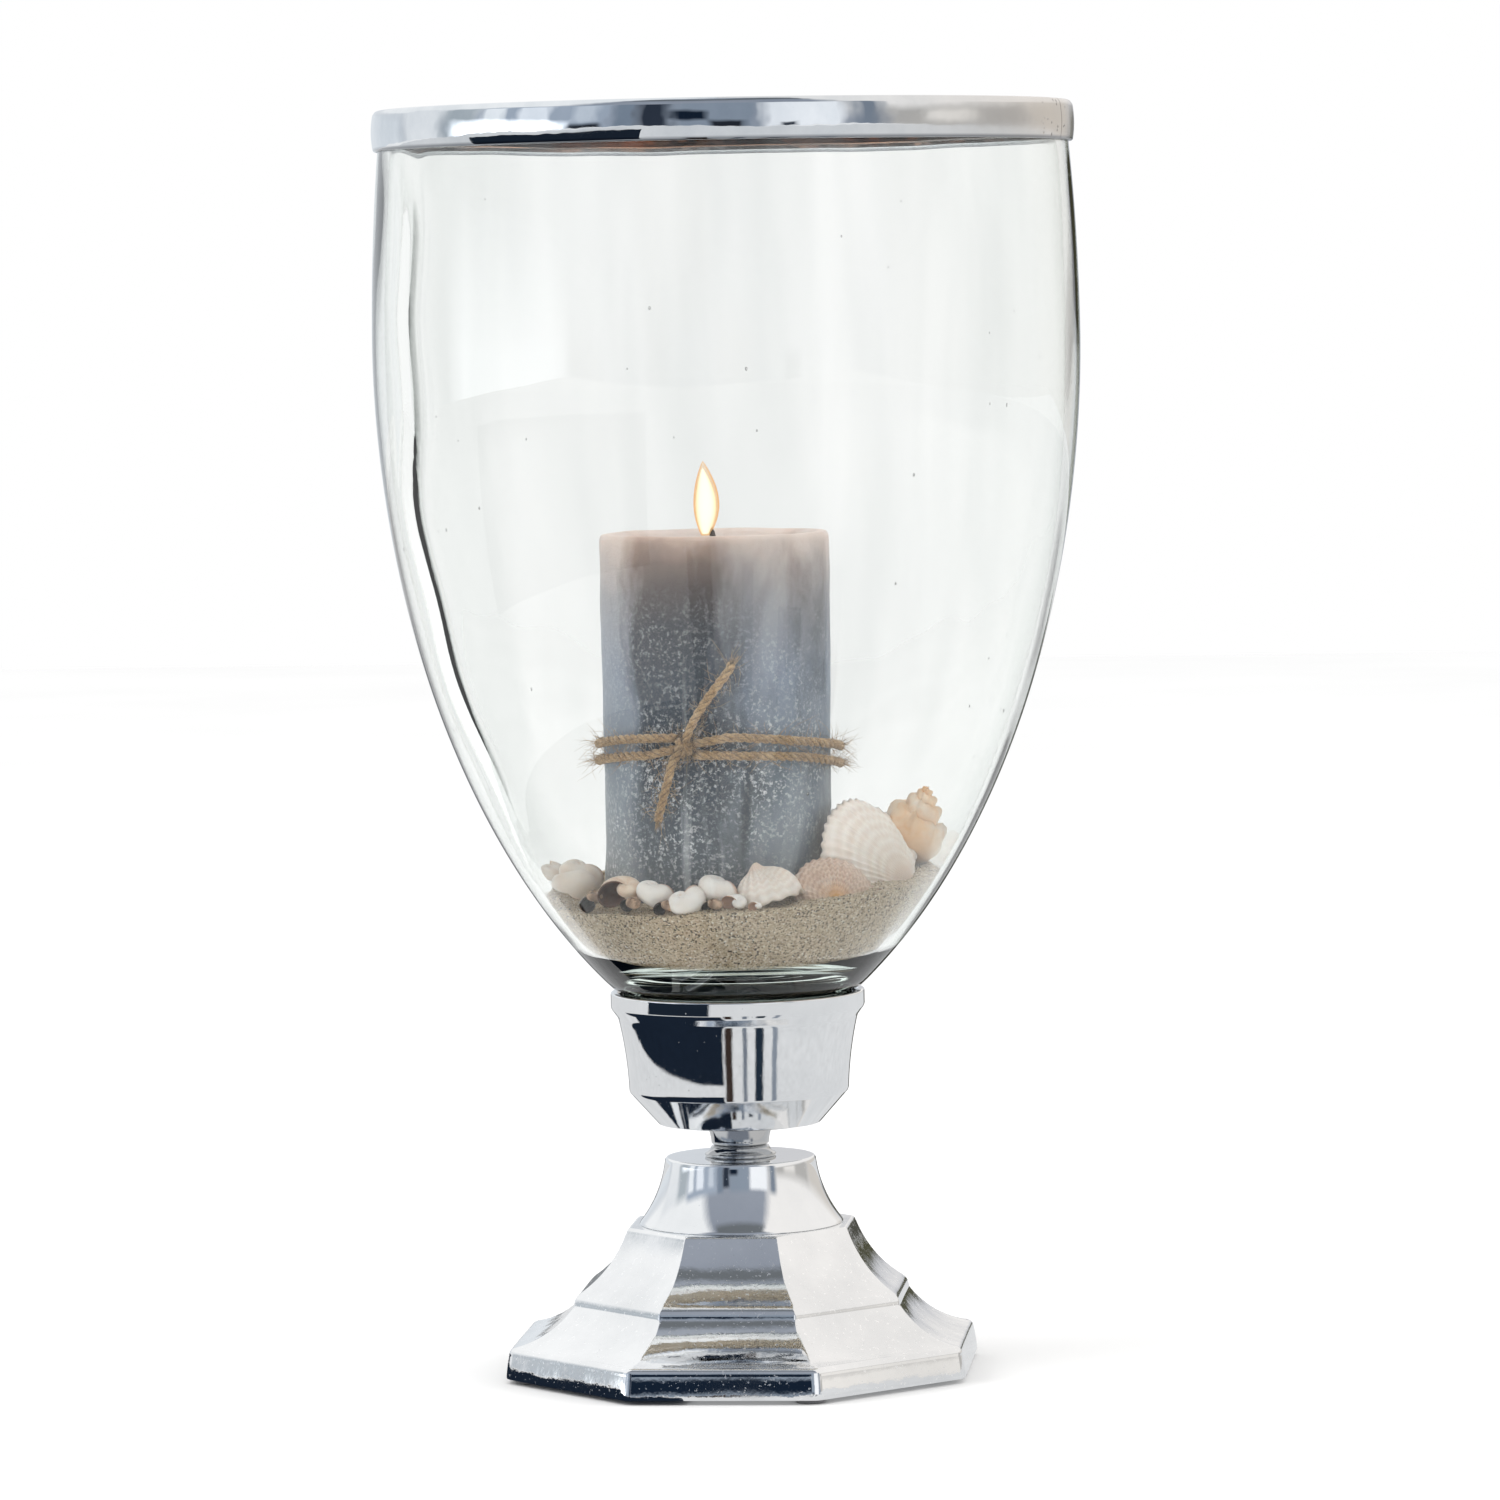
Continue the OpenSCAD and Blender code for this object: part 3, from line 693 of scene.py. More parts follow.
def make_collar():
    low, high = (p.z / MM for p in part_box("collar"))
    flank = arc((31.4, low + 0.3), (23.2, high - 0.7), 1.5, 24, 0)
    outline = rounded(
        [(31.2, low, 0.2)] + flank
        + [(22.7, high, 0.5), (BOLT_HOLE_R, high, 0.2), (BOLT_HOLE_R, high - 4, 0.2), (20.6, high - 4, 1),
           (24.2, low + 7, 1), (27.4, low, 0.3)]
    )
    turned("bell_collar", outline, "collar")


def make_stem():
    low, high = (p.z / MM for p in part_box("ferrule"))
    taper = arc((10.5, low + 1.2), (8.9, high - 0.5), 0.3, 8, 0)
    outline = rounded([(10.7, low, 0.2), (11, low + 0.5, 0.3), (11, low + 1.0, 0.3)] + taper
                      + [(8.0, high, 0.2), (BOLT_HOLE_R, high, 0), (BOLT_HOLE_R, low, 0)])
    stem_metal = polished_metal("turned_metal", 1.6, 0.62)
    turned("stem_ferrule", outline, "ferrule", 96, material=stem_metal)
    low, high = (p.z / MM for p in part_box("boss"))
    flare = arc((8.8, low + 0.6), (10.7, high), 0.4, 10, 0)
    outline = rounded([(8, low, 0.2), (8.7, low + 0.4, 0.2)] + flare
                      + [(BOLT_HOLE_R, high, 0), (BOLT_HOLE_R, low, 0)])
    turned("stem_boss", outline, "boss", 96, material=stem_metal)


def make_cup():
    low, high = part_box("cup")
    base, lip, lip_r = low.z / MM, high.z / MM, high.x / MM
    wall = arc((33.75, base + 10.6), (36.6, base + 32), 0.5, 16, 0)
    outline = rounded(
        [(24.9, base, 0.4), (33.5, base + 9.7, 0.5)] + wall
        + [(36.9, base + 33, 0.6), (lip_r - 0.35, base + 35.4, 0.3), (lip_r, base + 36.2, 0.5),
           (lip_r, lip - 0.3, 0.5), (lip_r - 0.6, lip, 0.4), (36.9, lip, 0.3), (36.5, lip - 1, 0.4),
           (36.4, lip - 4.3, 0.5), (34.2, base + 31.5, 0.5), (33.0, base + 23.5, 0.3),
           (32.8, base + 21.5, 0.2), (27, base + 21.5, 0.3), (27, base + 7.5, 0.3),
           (BOLT_HOLE_R, base + 7.5, 0.2), (BOLT_HOLE_R, base, 0.2)]
    )
    turned("bowl_cup", outline, "cup", 192)


make_collar()
make_stem()
make_cup()

hardware = {"tie_bolt": zinc_steel(), "cup_gasket": black_rubber(), "felt_pads": grey_felt()}
for name in ("cup_washer", "foot_washer", "spring_washer", "hex_nut"):
    hardware[name] = hardware["tie_bolt"]
for name, material in hardware.items():
    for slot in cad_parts[name].material_slots:
        slot.material = material


# ---------- bowl ----------

BOWL_LOW, BOWL_HIGH = (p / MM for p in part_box("glass_bowl"))
BOWL_R = BOWL_HIGH.x
GLASS_T = 3.6
GLASS_TOP = BOWL_HIGH.z
GLASS_FOOT = BOWL_LOW.z
FLOOR_Z = GLASS_FOOT + 24.5
LIP_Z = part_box("cup")[1].z / MM
BAND_LOW, BAND_HIGH = (p.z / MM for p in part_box("rim_band"))
WIDE_Z = 316
MOUTH_R = BOWL_R - 2.8
CURVE = [Vector(p) for p in ((BOWL_R, WIDE_Z), (BOWL_R, 243), (BOWL_R - 23.5, 163), (38.5, LIP_Z + 1.5))]


def bezier(t):
    p, q, r, s = CURVE
    return p * (1 - t) ** 3 + q * 3 * t * (1 - t) ** 2 + r * 3 * t * t * (1 - t) + s * t ** 3


def bezier_left(t):
    p, q, r, s = CURVE
    d = (q - p) * (1 - t) ** 2 + (r - q) * 2 * t * (1 - t) + (s - r) * t * t
    return Vector((-d.y, d.x)).normalized()


def bowl_inner(inset, steps=60):
    """Inner side of the bowl from the top edge down to the floor, moved in by inset."""
    t = GLASS_T + inset
    side = [bezier(i / steps) - bezier_left(i / steps) * t for i in range(1, steps + 1)]
    return (
        [(MOUTH_R - t, GLASS_TOP - 0.6), (MOUTH_R - t, BAND_LOW + 4)]
        + arc((MOUTH_R - t, BAND_LOW - 0.6), (BOWL_R - t, WIDE_Z), 0.6, 16)
        + [tuple(p) for p in side if p.y > FLOOR_Z + 4]
        + arc((41.5 - inset, FLOOR_Z + 3.2 + inset), (31, FLOOR_Z + inset), 0.8, 8)
    )


INNER_WALL = np.array(bowl_inner(0))[::-1]


def bowl_radius(z):
    """Radius inside the bowl at a height."""
    return float(np.interp(z, INNER_WALL[:, 1], INNER_WALL[:, 0]))


def blown(r, z, angle):
    """Hand-blown unevenness: the wall wanders a little, and two soft flow lines run down its left."""
    if r < 30:
        return r, z
    place = Vector((cos(angle) * 1.6, sin(angle) * 1.6, z / 90))
    inside = r < bowl_radius(z) + 0.8
    wander = noise.noise(place + Vector((0, 0, 31 if inside else 7))) * 0.22
    fine = uneven(cos(angle) * 6, sin(angle) * 6, z / 60 + (5 if inside else 0)) * 0.07
    sway = 0.03 * sin(z / 23) + 0.02 * sin(z / 9)
    flow = 0.0
    for middle, width, height in ((radians(210), 0.035, 0.75), (radians(217), 0.04, -0.6)):
        off = (angle - middle - sway) / width
        flow += height * exp(-off * off)
    fade = 0.0 if inside else share(z, 150, 210) * share(z, 375, 350)
    edge = share(z, 118, 138) * max(0.05, share(z, 378, 358))
    return r + (wander + fine) * edge + flow * fade, z


def make_bowl():
    steps = 64
    outer = (
        [(MOUTH_R, GLASS_TOP - 0.6), (MOUTH_R, BAND_LOW + 4)]
        + arc((MOUTH_R, BAND_LOW - 0.6), (BOWL_R, WIDE_Z), 0.6, 16)
        + [tuple(bezier(i / steps)) for i in range(1, steps + 1)]
        + [(36.3, LIP_Z + 0.5), (35.2, LIP_Z - 0.9), (34.3, LIP_Z - 3.2), (33.5, GLASS_FOOT + 11),
           (32.7, GLASS_FOOT + 7.5), (32.0, GLASS_FOOT + 4.2), (31.4, GLASS_FOOT + 1.6),
           (30.9, GLASS_FOOT + 0.6), (30, GLASS_FOOT + 0.05), (26, GLASS_FOOT), (12, GLASS_FOOT),
           (0.02, GLASS_FOOT)]
    )
    inner = bowl_inner(0)
    top = [(MOUTH_R - GLASS_T + 0.5, GLASS_TOP), (MOUTH_R - 0.5, GLASS_TOP)]
    floor = [(20, FLOOR_Z), (8, FLOOR_Z), (0.02, FLOOR_Z)]
    outline = outer + list(reversed(inner + floor))
    turned("blown_bowl", outline + top, "glass_bowl", 256, blown, blown_glass(), "bowl")


def make_rim_band():
    low, high = BAND_LOW, BAND_HIGH
    out_r = MOUTH_R + 0.1 + 1.2
    in_r = MOUTH_R - GLASS_T - 1.0
    over_glass = GLASS_TOP + 0.25
    face = arc((out_r, low + 0.4), (out_r, high - 1.3), -0.5, 16, 0)
    outline = rounded(
        [(out_r - 0.3, low, 0.2)] + face
        + [(out_r - 0.9, high, 0.8), (in_r + 0.8, high, 0.8), (in_r, high - 1, 0.6), (in_r, low + 2.2, 0.3),
           (in_r + 0.85, low + 2.2, 0.3), (in_r + 0.85, over_glass, 0.1), (MOUTH_R + 0.15, over_glass, 0.1),
           (MOUTH_R + 0.15, low + 1, 0.2), (MOUTH_R + 0.45, low, 0.2)]
    )

    def rolled(r, z, angle):
        ripple = uneven(cos(angle) * 5, sin(angle) * 5, z / 14) * 0.13
        return (r + ripple, z) if r > MOUTH_R + 0.6 else (r, z)

    turned("rim_band_rolled", outline, "rim_band", 256, rolled, rim_metal(), "bowl")


def make_seeds():
    """Small air bubbles drawn out upwards inside the wall of the bowl."""
    draw = random.Random(11)
    parts = []
    for _ in range(46):
        z = draw.uniform(165, 365)
        angle = draw.uniform(0, TAU)
        r = bowl_radius(z) + GLASS_T / 2
        size = draw.uniform(0.16, 0.42)
        centre = Vector((r * cos(angle), r * sin(angle), z)) * MM
        rings = [(size * sin(pi * k / 6) + 0.004, size * 1.6 * cos(pi * k / 6))
                 for k in range(7)]
        verts = [centre + Vector((q * cos(TAU * j / 8), q * sin(TAU * j / 8), h)) * MM
                 for q, h in rings for j in range(8)]
        parts.append((verts, capped(7, 8), [(0, 0)] * len(verts)))
    piece("glass_seeds", joined(parts), air_seed(), "bowl")


make_bowl()
make_rim_band()


# ---------- candle ----------

def make_candle():
    low, top, r = CANDLE_LOW.z / MM, CANDLE_TOP / MM, CANDLE_R / MM
    flank = [(r, low + 1 + (top - low - 3) * i / 110, 0) for i in range(111)]
    outline = rounded(
        [(1.3, low, 0), (12, low, 0), (24, low, 0), (r - 0.2, low, 1)] + flank
        + [(r - 0.1, top - 1.2, 0.6), (r - 0.7, top - 0.2, 0.8), (r - 2.0, top, 0.8),
           (r - 4.0, top - 0.9, 1.2), (r - 5.2, top - 2.4, 0.8), (r - 8, top - 3, 0.8), (12, top - 3, 0),
           (1.3, top - 3, 0)]
    )

    def rustic(rr, z, angle):
        if rr < r - 6:
            return rr, z
        p = Vector((cos(angle) * r, sin(angle) * r, z))
        lumps = noise.noise(p / 16) * 0.28 + uneven(p.x / 3, p.y / 3, p.z / 7) * 0.10
        pores = min(0.0, noise.noise(p / 2.2) + 0.35) * 0.35
        rim = uneven(cos(angle) * 2, sin(angle) * 2, 3) * 0.5 if z > top - 3 else 0.0
        return rr + lumps + pores - 0.15, z + rim * 0.5

    on_axis("pillar_wax", lathe(outline, 300, rustic), rustic_wax(), "candle")


def on_axis(name, shape, material, node):
    """A turned shape moved onto the candle's axis, in place of a CAD node."""
    verts, faces = shape
    verts = [(x + CANDLE_MIDDLE.x, y + CANDLE_MIDDLE.y, z) for x, y, z in verts]
    piece(name, (verts, faces), material, "candle", [node])


def make_melt_pool():
    radius, low = CANDLE_R / MM - 9, CANDLE_TOP / MM - 3
    outline = rounded([(1.3, low, 0), (radius - 0.4, low, 0.2), (radius, low + 0.6, 0.3),
                       (radius - 1.2, low + 0.8, 0.5), (1.3, low + 1, 0)])
    on_axis("wax_pool", lathe(outline, 96), melted_wax(), "melt_pool")


make_candle()
make_melt_pool()


def on_candle(right, front, z):
    """A point in mm from the candle's axis, seen from the camera, to the row frame in metres."""
    p = towards(right * MM, front * MM, z * MM)
    return Vector((p.x + CANDLE_MIDDLE.x, p.y + CANDLE_MIDDLE.y, p.z))


def make_wick():
    top = CANDLE_TOP / MM
    spine = smooth_path([on_candle(*p) for p in (
        (0, 0, top - 6), (0, 0, top - 3), (-0.1, 0, top - 1), (-0.7, 0, top + 0.8), (-1.9, 0, top + 2.2),
        (-3.0, 0, top + 2.9),
    )], 6)
    plies = []
    for phase in range(3):
        path, n = [], len(spine)
        for i, p in enumerate(spine):
            a = TAU * (phase / 3 + i / 11)
            path.append(p + Vector((cos(a), sin(a), 0)) * 0.45 * MM)
        plies.append(tube(path, [0.62 * MM * (1 - 0.35 * i / n) for i in range(n)], 8))
    piece("braided_wick", joined(plies), charred_wick(), "candle", ["wick"])


make_wick()


def flame_part(name, material, base, height, width, lean):
    """Teardrop standing on the wick, base and height in mm, with a pointed tip."""
    rows, columns, belly = 40, 40, 0.42
    verts = []
    for i in range(rows + 1):
        t = i / rows
        if t < belly:
            swell = 0.30 + 0.70 * sin(pi * t / belly / 2) ** 0.8
        else:
            swell = cos((t - belly) / (1 - belly) * pi / 2) ** 0.85
        r = max(0.02, width * swell)
        drift = lean + 0.6 * sin(t * 3.0) - 0.8 * t
        for j in range(columns):
            a = TAU * j / columns
            verts.append(on_candle(drift + r * cos(a), 0.9 * r * sin(a), base + height * t))
    flame = piece(name, (verts, capped(rows + 1, columns)), material, "candle")
    flame.visible_shadow = False


def make_flame():
    """A white-hot core inside a clear orange sheath, leaning with the wick."""
    top = CANDLE_TOP / MM
    core = glow("flame_core", (1.0, 0.96, 0.80), (1.0, 0.72, 0.30), 1.6, 0.0)
    sheath = glow("flame_sheath", (1.0, 0.62, 0.25), (1.0, 0.42, 0.10), 1.0, 0.8)
    flame_part("flame_core", core, top - 0.6, 20.0, 3.2, -2.3)
    flame_part("flame_sheath", sheath, top - 1.0, 22.5, 4.0, -2.2)


make_flame()


# ---------- twine ----------

twine_fibre = jute()
TWINE_R = 1.4
WRAP_R = CANDLE_R / MM + TWINE_R + 0.1
WRAP_Z = 190.5
WRAP_GAP = 2.6
FRONT_LIFT = 4.6
SIDE_DROP = 1
CROSS_OVER = radians(20)
KNOT_ANGLE = radians(255)
UPPER_TAIL = ((-9.8, 38.6, 195), (-9.4, 38.8, 197.5), (-8.2, 39.2, 200.5), (-6, 39.2, 204.6),
              (-3.2, 39, 208.8), (0, 38.4, 213), (3, 38, 217), (4.8, 38, 220))
LOWER_TAIL = ((-10.8, 38.6, 196), (-12, 38.6, 193.4), (-13.6, 39, 190.4), (-14.4, 39, 187),
              (-15.4, 38.8, 183.4), (-16.4, 38.6, 179.6), (-17.4, 38.4, 175.6), (-18, 38.2, 173))


def strands(path, radius, turn=0.0):
    """Three plies laid round a path, as twisted rope."""
    pitch, plies, sides = 8.5 * MM, 3, 7
    out = []
    travelled = [0.0]
    for a, b in zip(path, path[1:]):
        travelled.append(travelled[-1] + (b - a).length)
    frames = list(frames_along(path))
    for ply in range(plies):
        route = []
        for p, far, (side, up) in zip(path, travelled, frames):
            a = TAU * (far / pitch + ply / plies) + turn
            route.append(p + (side * cos(a) + up * sin(a)) * radius * 0.5)
        out.append(tube(route, radius * 0.56, sides))
    return out


def scatter(draw, spread):
    return Vector([draw.gauss(0, spread) for _ in range(3)])


def hairs(draw, path, count, reach, away_from=None):
    """Fine loose fibres standing off a cord along its path."""
    out = []
    for _ in range(count):
        k = draw.randrange(1, len(path) - 1)
        ahead = (path[k + 1] - path[k - 1]).normalized()
        out_way = scatter(draw, 1)
        if away_from is not None:
            out_way += (path[k] - Vector((away_from.x, away_from.y, path[k].z))).normalized() * 1.5
        out_way = (out_way - ahead * out_way.dot(ahead) * 0.4).normalized()
        bend = scatter(draw, 1) * 0.35
        length = reach * draw.uniform(0.35, 1.0) * MM
        lean = ahead * draw.choice((-1, 1)) * draw.uniform(0.2, 1.2)
        start = path[k] + out_way * TWINE_R * 0.8 * MM
        points = [start + (out_way + lean * t + bend * t * t) * length * t for t in (0, 0.33, 0.66, 1.0)]
        out.append(tube(points, [0.07 * MM, 0.06 * MM, 0.05 * MM, 0.02 * MM], 4))
    return out


def wrap_height(angle):
    """The first turn lies under the second and they cross behind the knot, both drawn up at the front."""
    past = (angle - KNOT_ANGLE - TAU) / CROSS_OVER
    return (WRAP_Z + WRAP_GAP * max(-1.0, min(1.0, past))
            + FRONT_LIFT * max(0.0, -sin(angle)) - SIDE_DROP * cos(angle))


def wrap_point(angle):
    """Two turns that run from the knot and back to it, a little slack on the right."""
    turns = (angle - KNOT_ANGLE) / TAU
    slack = 1.4 * max(0.0, cos(angle - radians(350))) ** 3
    z = wrap_height(angle) + uneven(turns * 9, 0, 4) * 0.5
    r = WRAP_R + slack + uneven(turns * 11, 3, 0) * 0.12
    return on_candle(r * cos(angle), -r * sin(angle), z)


def rope(name, parts, node):
    piece(name, joined(parts), twine_fibre, "candle", [node])


def make_twine():
    draw = random.Random(5)
    steps = 620
    first, whole = KNOT_ANGLE + radians(4), radians(712)
    wraps = [wrap_point(first + whole * i / steps) for i in range(steps + 1)]
    parts = strands(wraps, TWINE_R * MM) + hairs(draw, wraps, 900, 5.4, CANDLE_MIDDLE)
    rope("twine_wraps_rope", parts, "twine_wraps")
    parts = []
    for k, tail in enumerate((UPPER_TAIL, LOWER_TAIL)):
        path = smooth_path([on_candle(*p) for p in tail], 12)
        parts += strands(path, TWINE_R * MM * 0.94, turn=k)
        parts += hairs(draw, path, 110, 5.6)
        frayed = [path[-1] + scatter(draw, 0.6) * MM for _ in range(26)]
        forward = (path[-1] - path[-4]).normalized()
        for tip in frayed:
            end = tip + (forward + scatter(draw, 0.3)) * draw.uniform(1.0, 3.2) * MM
            parts.append(tube([path[-3], tip, end], [0.16 * MM, 0.10 * MM, 0.03 * MM], 4))
    rope("twine_tail_ropes", parts, "twine_tails")
    make_knot(draw)


def make_knot(draw):
    """A half hitch: one turn over both wraps, and a second crossing it."""
    knot_r = WRAP_R + 2.2
    centre = on_candle(knot_r * cos(KNOT_ANGLE), -knot_r * sin(KNOT_ANGLE),
                       wrap_height(KNOT_ANGLE + TAU))
    out_way = (centre - Vector((CANDLE_MIDDLE.x, CANDLE_MIDDLE.y, centre.z))).normalized()
    up = Vector((0, 0, 1))
    across = up.cross(out_way)
    parts = []
    for tilt, reach, depth in ((0.35, 2.5, 1.3), (-0.75, 2.2, 1.7), (1.3, 1.9, 0.9)):
        long_way = up * cos(tilt) + across * sin(tilt)
        side_way = across * cos(tilt) - up * sin(tilt)
        loop = []
        for i in range(37):
            a = TAU * i / 36
            loop.append(centre + (long_way * cos(a) * reach + out_way * (sin(a) * depth + 0.2)
                                  + side_way * sin(a) * 0.5) * MM)
        parts += strands(loop, TWINE_R * MM * 0.86, turn=tilt)
        parts += hairs(draw, loop, 60, 5.0)
    rope("twine_knot_rope", parts, "twine_knot")


make_twine()


# ---------- sand ----------

SAND_Z = 150.6
SAND_TILT = radians(3.5)
SAND_BANK = radians(3)


def sand_height(right, front):
    """Height of the sand: higher at the back, gently heaped, and banked up a little at the right."""
    z = SAND_Z - front * tan(SAND_TILT) + right * tan(SAND_BANK)
    z += uneven(right / 14, front / 14, 2) * 0.7
    z += uneven(right / 4, front / 4, 7) * 0.22
    return z + 1.2 * share(right, 12, 37) * share(front, -10, 20)


def in_bowl(right, front, z):
    """A point in mm from the bowl's axis, seen from the camera, to the row frame in metres."""
    return towards(right * MM, front * MM, z * MM)


def make_sand():
    """Fills the bowl from its floor to the heaped surface, round the candle's socket."""
    columns, across, down = 288, 44, 26
    socket_r, socket_z, clear = CANDLE_R / MM + 0.4, CANDLE_LOW.z / MM - 0.1, 0.15
    middle_right = -5.0
    ways = [(cos(TAU * j / columns), sin(TAU * j / columns)) for j in range(columns)]

    def reach(way, radius):
        """Distance along a way from the candle's axis to a circle round the bowl's axis."""
        b = middle_right * way[0]
        return -b + sqrt(b * b - middle_right ** 2 + radius * radius)

    def spot(way, distance):
        return middle_right + way[0] * distance, way[1] * distance

    edge = []
    for way in ways:
        distance = 60.0
        for _ in range(12):
            z = sand_height(*spot(way, distance))
            distance = reach(way, bowl_radius(z) - clear)
        edge.append((distance, z))
    rows = [[(*spot(way, distance), socket_z) for way in ways] for distance in (0.02, socket_r)]
    for i in range(1, 9):
        rows.append([])
        for way in ways:
            top = sand_height(*spot(way, socket_r))
            rows[-1].append((*spot(way, socket_r), socket_z + (top - socket_z) * i / 8))
    for i in range(1, across + 1):
        rows.append([])
        for way, (far, top) in zip(ways, edge):
            distance = socket_r + (far - socket_r) * i / across
            right, front = spot(way, distance)
            z = sand_height(right, front) if i < across else top
            rows[-1].append((right, front, z))
    floor = FLOOR_Z + clear
    for i in range(1, down + 1):
        rows.append([])
        for way, (far, top) in zip(ways, edge):
            z = top + (floor - top) * i / down
            rows[-1].append((*spot(way, reach(way, bowl_radius(z) - clear)), z))
    rows.append([(*spot(way, 0.02), floor) for way in ways])
    verts = [in_bowl(*p) for row in rows for p in row]
    bed = (verts, capped(len(rows), columns), [(0, 0)] * len(verts))
    grains = []
    draw = random.Random(3)
    corners = ((1, 0, 0), (0, 1, 0), (-1, 0, 0), (0, -1, 0), (0, 0, 1), (0, 0, -1))
    sides = ((0, 1, 4), (1, 2, 4), (2, 3, 4), (3, 0, 4), (1, 0, 5), (2, 1, 5), (3, 2, 5), (0, 3, 5))
    for _ in range(2600):
        k = draw.randrange(columns)
        distance = socket_r + 0.6 + (edge[k][0] - socket_r - 1.3) * sqrt(draw.random())
        right, front = spot(ways[k], distance)
        centre = Vector((right, front, sand_height(right, front) + draw.uniform(-0.1, 0.15)))
        size = [draw.uniform(0.18, 0.46) for _ in range(3)]
        points = [in_bowl(*(centre + Vector([c * q for c, q in zip(corner, size)]))) for corner in corners]
        grains.append((points, sides, [(0, 0)] * 6))
    piece("sand_bed", joined([bed] + grains), beach_sand(), "bowl", ["sand"], smooth=False)


make_sand()


# ---------- shells ----------

def fan_shell(radius, depth, ribs, rib_depth, spread=74, jagged=0.0):
    """One valve of a scallop or cockle. Its hinge is at -Y, its fan opens to +Y, and its outside faces +Z."""
    across, along, thickness = ribs * 8, 30, 1.1
    half = radians(spread)
    inner = max(0.0, 1 - thickness / radius)
    outside, inside, uvs = [], [], []
    for j in range(along + 1):
        v = 0.03 + 0.97 * j / along
        for i in range(across + 1):
            u = -1 + 2 * i / across
            a = u * half
            wave = cos(u * ribs * pi)
            outline = radius * 2 * (cos(a) ** 0.62 * 0.96 + 0.04)
            outline *= 1 + 0.010 * wave + jagged * uneven(u * 9, 3.3, 0)
            x, y = outline * v * sin(a), outline * v * cos(a) - radius
            q = min(1.0, hypot(x / (radius * 1.04), (y - radius * 0.08) / (radius * 1.12)))
            dome = depth * (1 - q ** 2.3) ** 0.62
            beak = depth * 0.35 * exp(-((v - 0.10) / 0.10) ** 2) * cos(u * pi / 2)
            rib = rib_depth * wave * min(1.0, v * 1.7) * (0.35 + 0.65 * sqrt(max(0.0, 1 - q * q)))
            growth = 0.10 * sin(v * 46 + u * u * 3) * v
            outside.append(Vector((x, y, dome + beak + rib + growth)))
            inside.append(Vector((x * inner, y * inner, dome * (1 - thickness / depth) + rib * 0.4 - 0.25)))
            uvs.append((i / across, v))
    columns, start = across + 1, len(outside)
    faces = grid_faces(along + 1, columns, wrap_columns=False)
    faces += [tuple(reversed(f)) for f in grid_faces(along + 1, columns, wrap_columns=False, start=start)]
    rim = list(range(columns)) + [j * columns + across for j in range(1, along + 1)]
    rim += [along * columns + i for i in range(across - 1, -1, -1)]
    rim += [j * columns for j in range(along - 1, 0, -1)]
    for a, b in zip(rim, rim[1:] + rim[:1]):
        faces.append((b, a, a + start, b + start))
    return outside + inside, faces, uvs + uvs


def whorls(radius, turns, growth, lift, spikes=0, spike=0.0, lip=0.86):
    """Snail shell: a tube that grows as it winds round +Z, its spire upwards, with a hollow mouth."""
    per_turn, sides = 34, 22
    last = int(turns * per_turn)
    verts, uvs = [], []

    def ring(step, tube_scale, v):
        a = TAU * step / per_turn
        size = growth ** ((step - last) / per_turn)
        outwards = Vector((cos(a), sin(a), 0))
        centre = outwards * 0.46 * size + Vector((0, 0, lift * (1 - size)))
        for k in range(sides):
            b = TAU * k / sides
            horn = spike * max(0.0, cos(spikes * a)) ** 4 * max(0.0, cos(b - 0.9)) ** 6
            r = 0.54 * size * tube_scale * (1 + horn)
            verts.append((centre + (outwards * cos(b) + Vector((0, 0, sin(b)))) * r) * radius)
            uvs.append((k / sides, v))

    for i in range(last + 1):
        ring(i, 1.0, i / last)
    mouth = (0, 0.93), (-1, lip), (-4, lip - 0.04), (-8, lip - 0.08), (-13, lip - 0.20), (-17, 0.30)
    for i, scale in mouth:
        ring(last + i, scale, 1.0)
    return verts, capped(len(verts) // sides, sides), uvs


def box_of(points):
    low = Vector([min(p[k] for p in points) for k in range(3)])
    high = Vector([max(p[k] for p in points) for k in range(3)])
    return low, high


def solids(node):
    """Centre and half-width of each separate solid of a CAD node, in metres, in a fixed order."""
    shape = bmesh.new()
    shape.from_mesh(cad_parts[node].data)
    bmesh.ops.remove_doubles(shape, verts=shape.verts, dist=0.00002)
    found, seen = [], set()
    for first in shape.verts:
        if first in seen:
            continue
        island, queue = [], [first]
        seen.add(first)
        while queue:
            vert = queue.pop()
            island.append(vert.co.copy())
            for link in vert.link_edges:
                other = link.other_vert(vert)
                if other not in seen:
                    seen.add(other)
                    queue.append(other)
        low, high = box_of(island)
        found.append(((low + high) / 2, (high.z - low.z) / 2))
    shape.free()
    return sorted(found, key=lambda item: (round(item[0].x, 5), round(item[0].y, 5)))


def turned_by(shape, x, y, z, spin):
    """A (verts, faces, uvs) shape in mm turned by degrees: spun about its own axis, then about X, Y and Z."""
    turn = Matrix.Rotation(FILL_TURN, 4, "Z")
    for angle, axis in ((z, "Z"), (y, "Y"), (x, "X"), (spin, "Z")):
        turn = turn @ Matrix.Rotation(radians(angle), 4, axis)
    verts, faces, uvs = shape
    return [turn @ v * MM for v in verts], faces, uvs


def moved_to(shape, centre, size):
    """The shape with the middle of its box at centre, and its longest side made size long."""
    verts, faces, uvs = shape
    low, high = box_of(verts)
    grown = size / max(high - low)
    return [centre + (v - (low + high) / 2) * grown for v in verts], faces, uvs


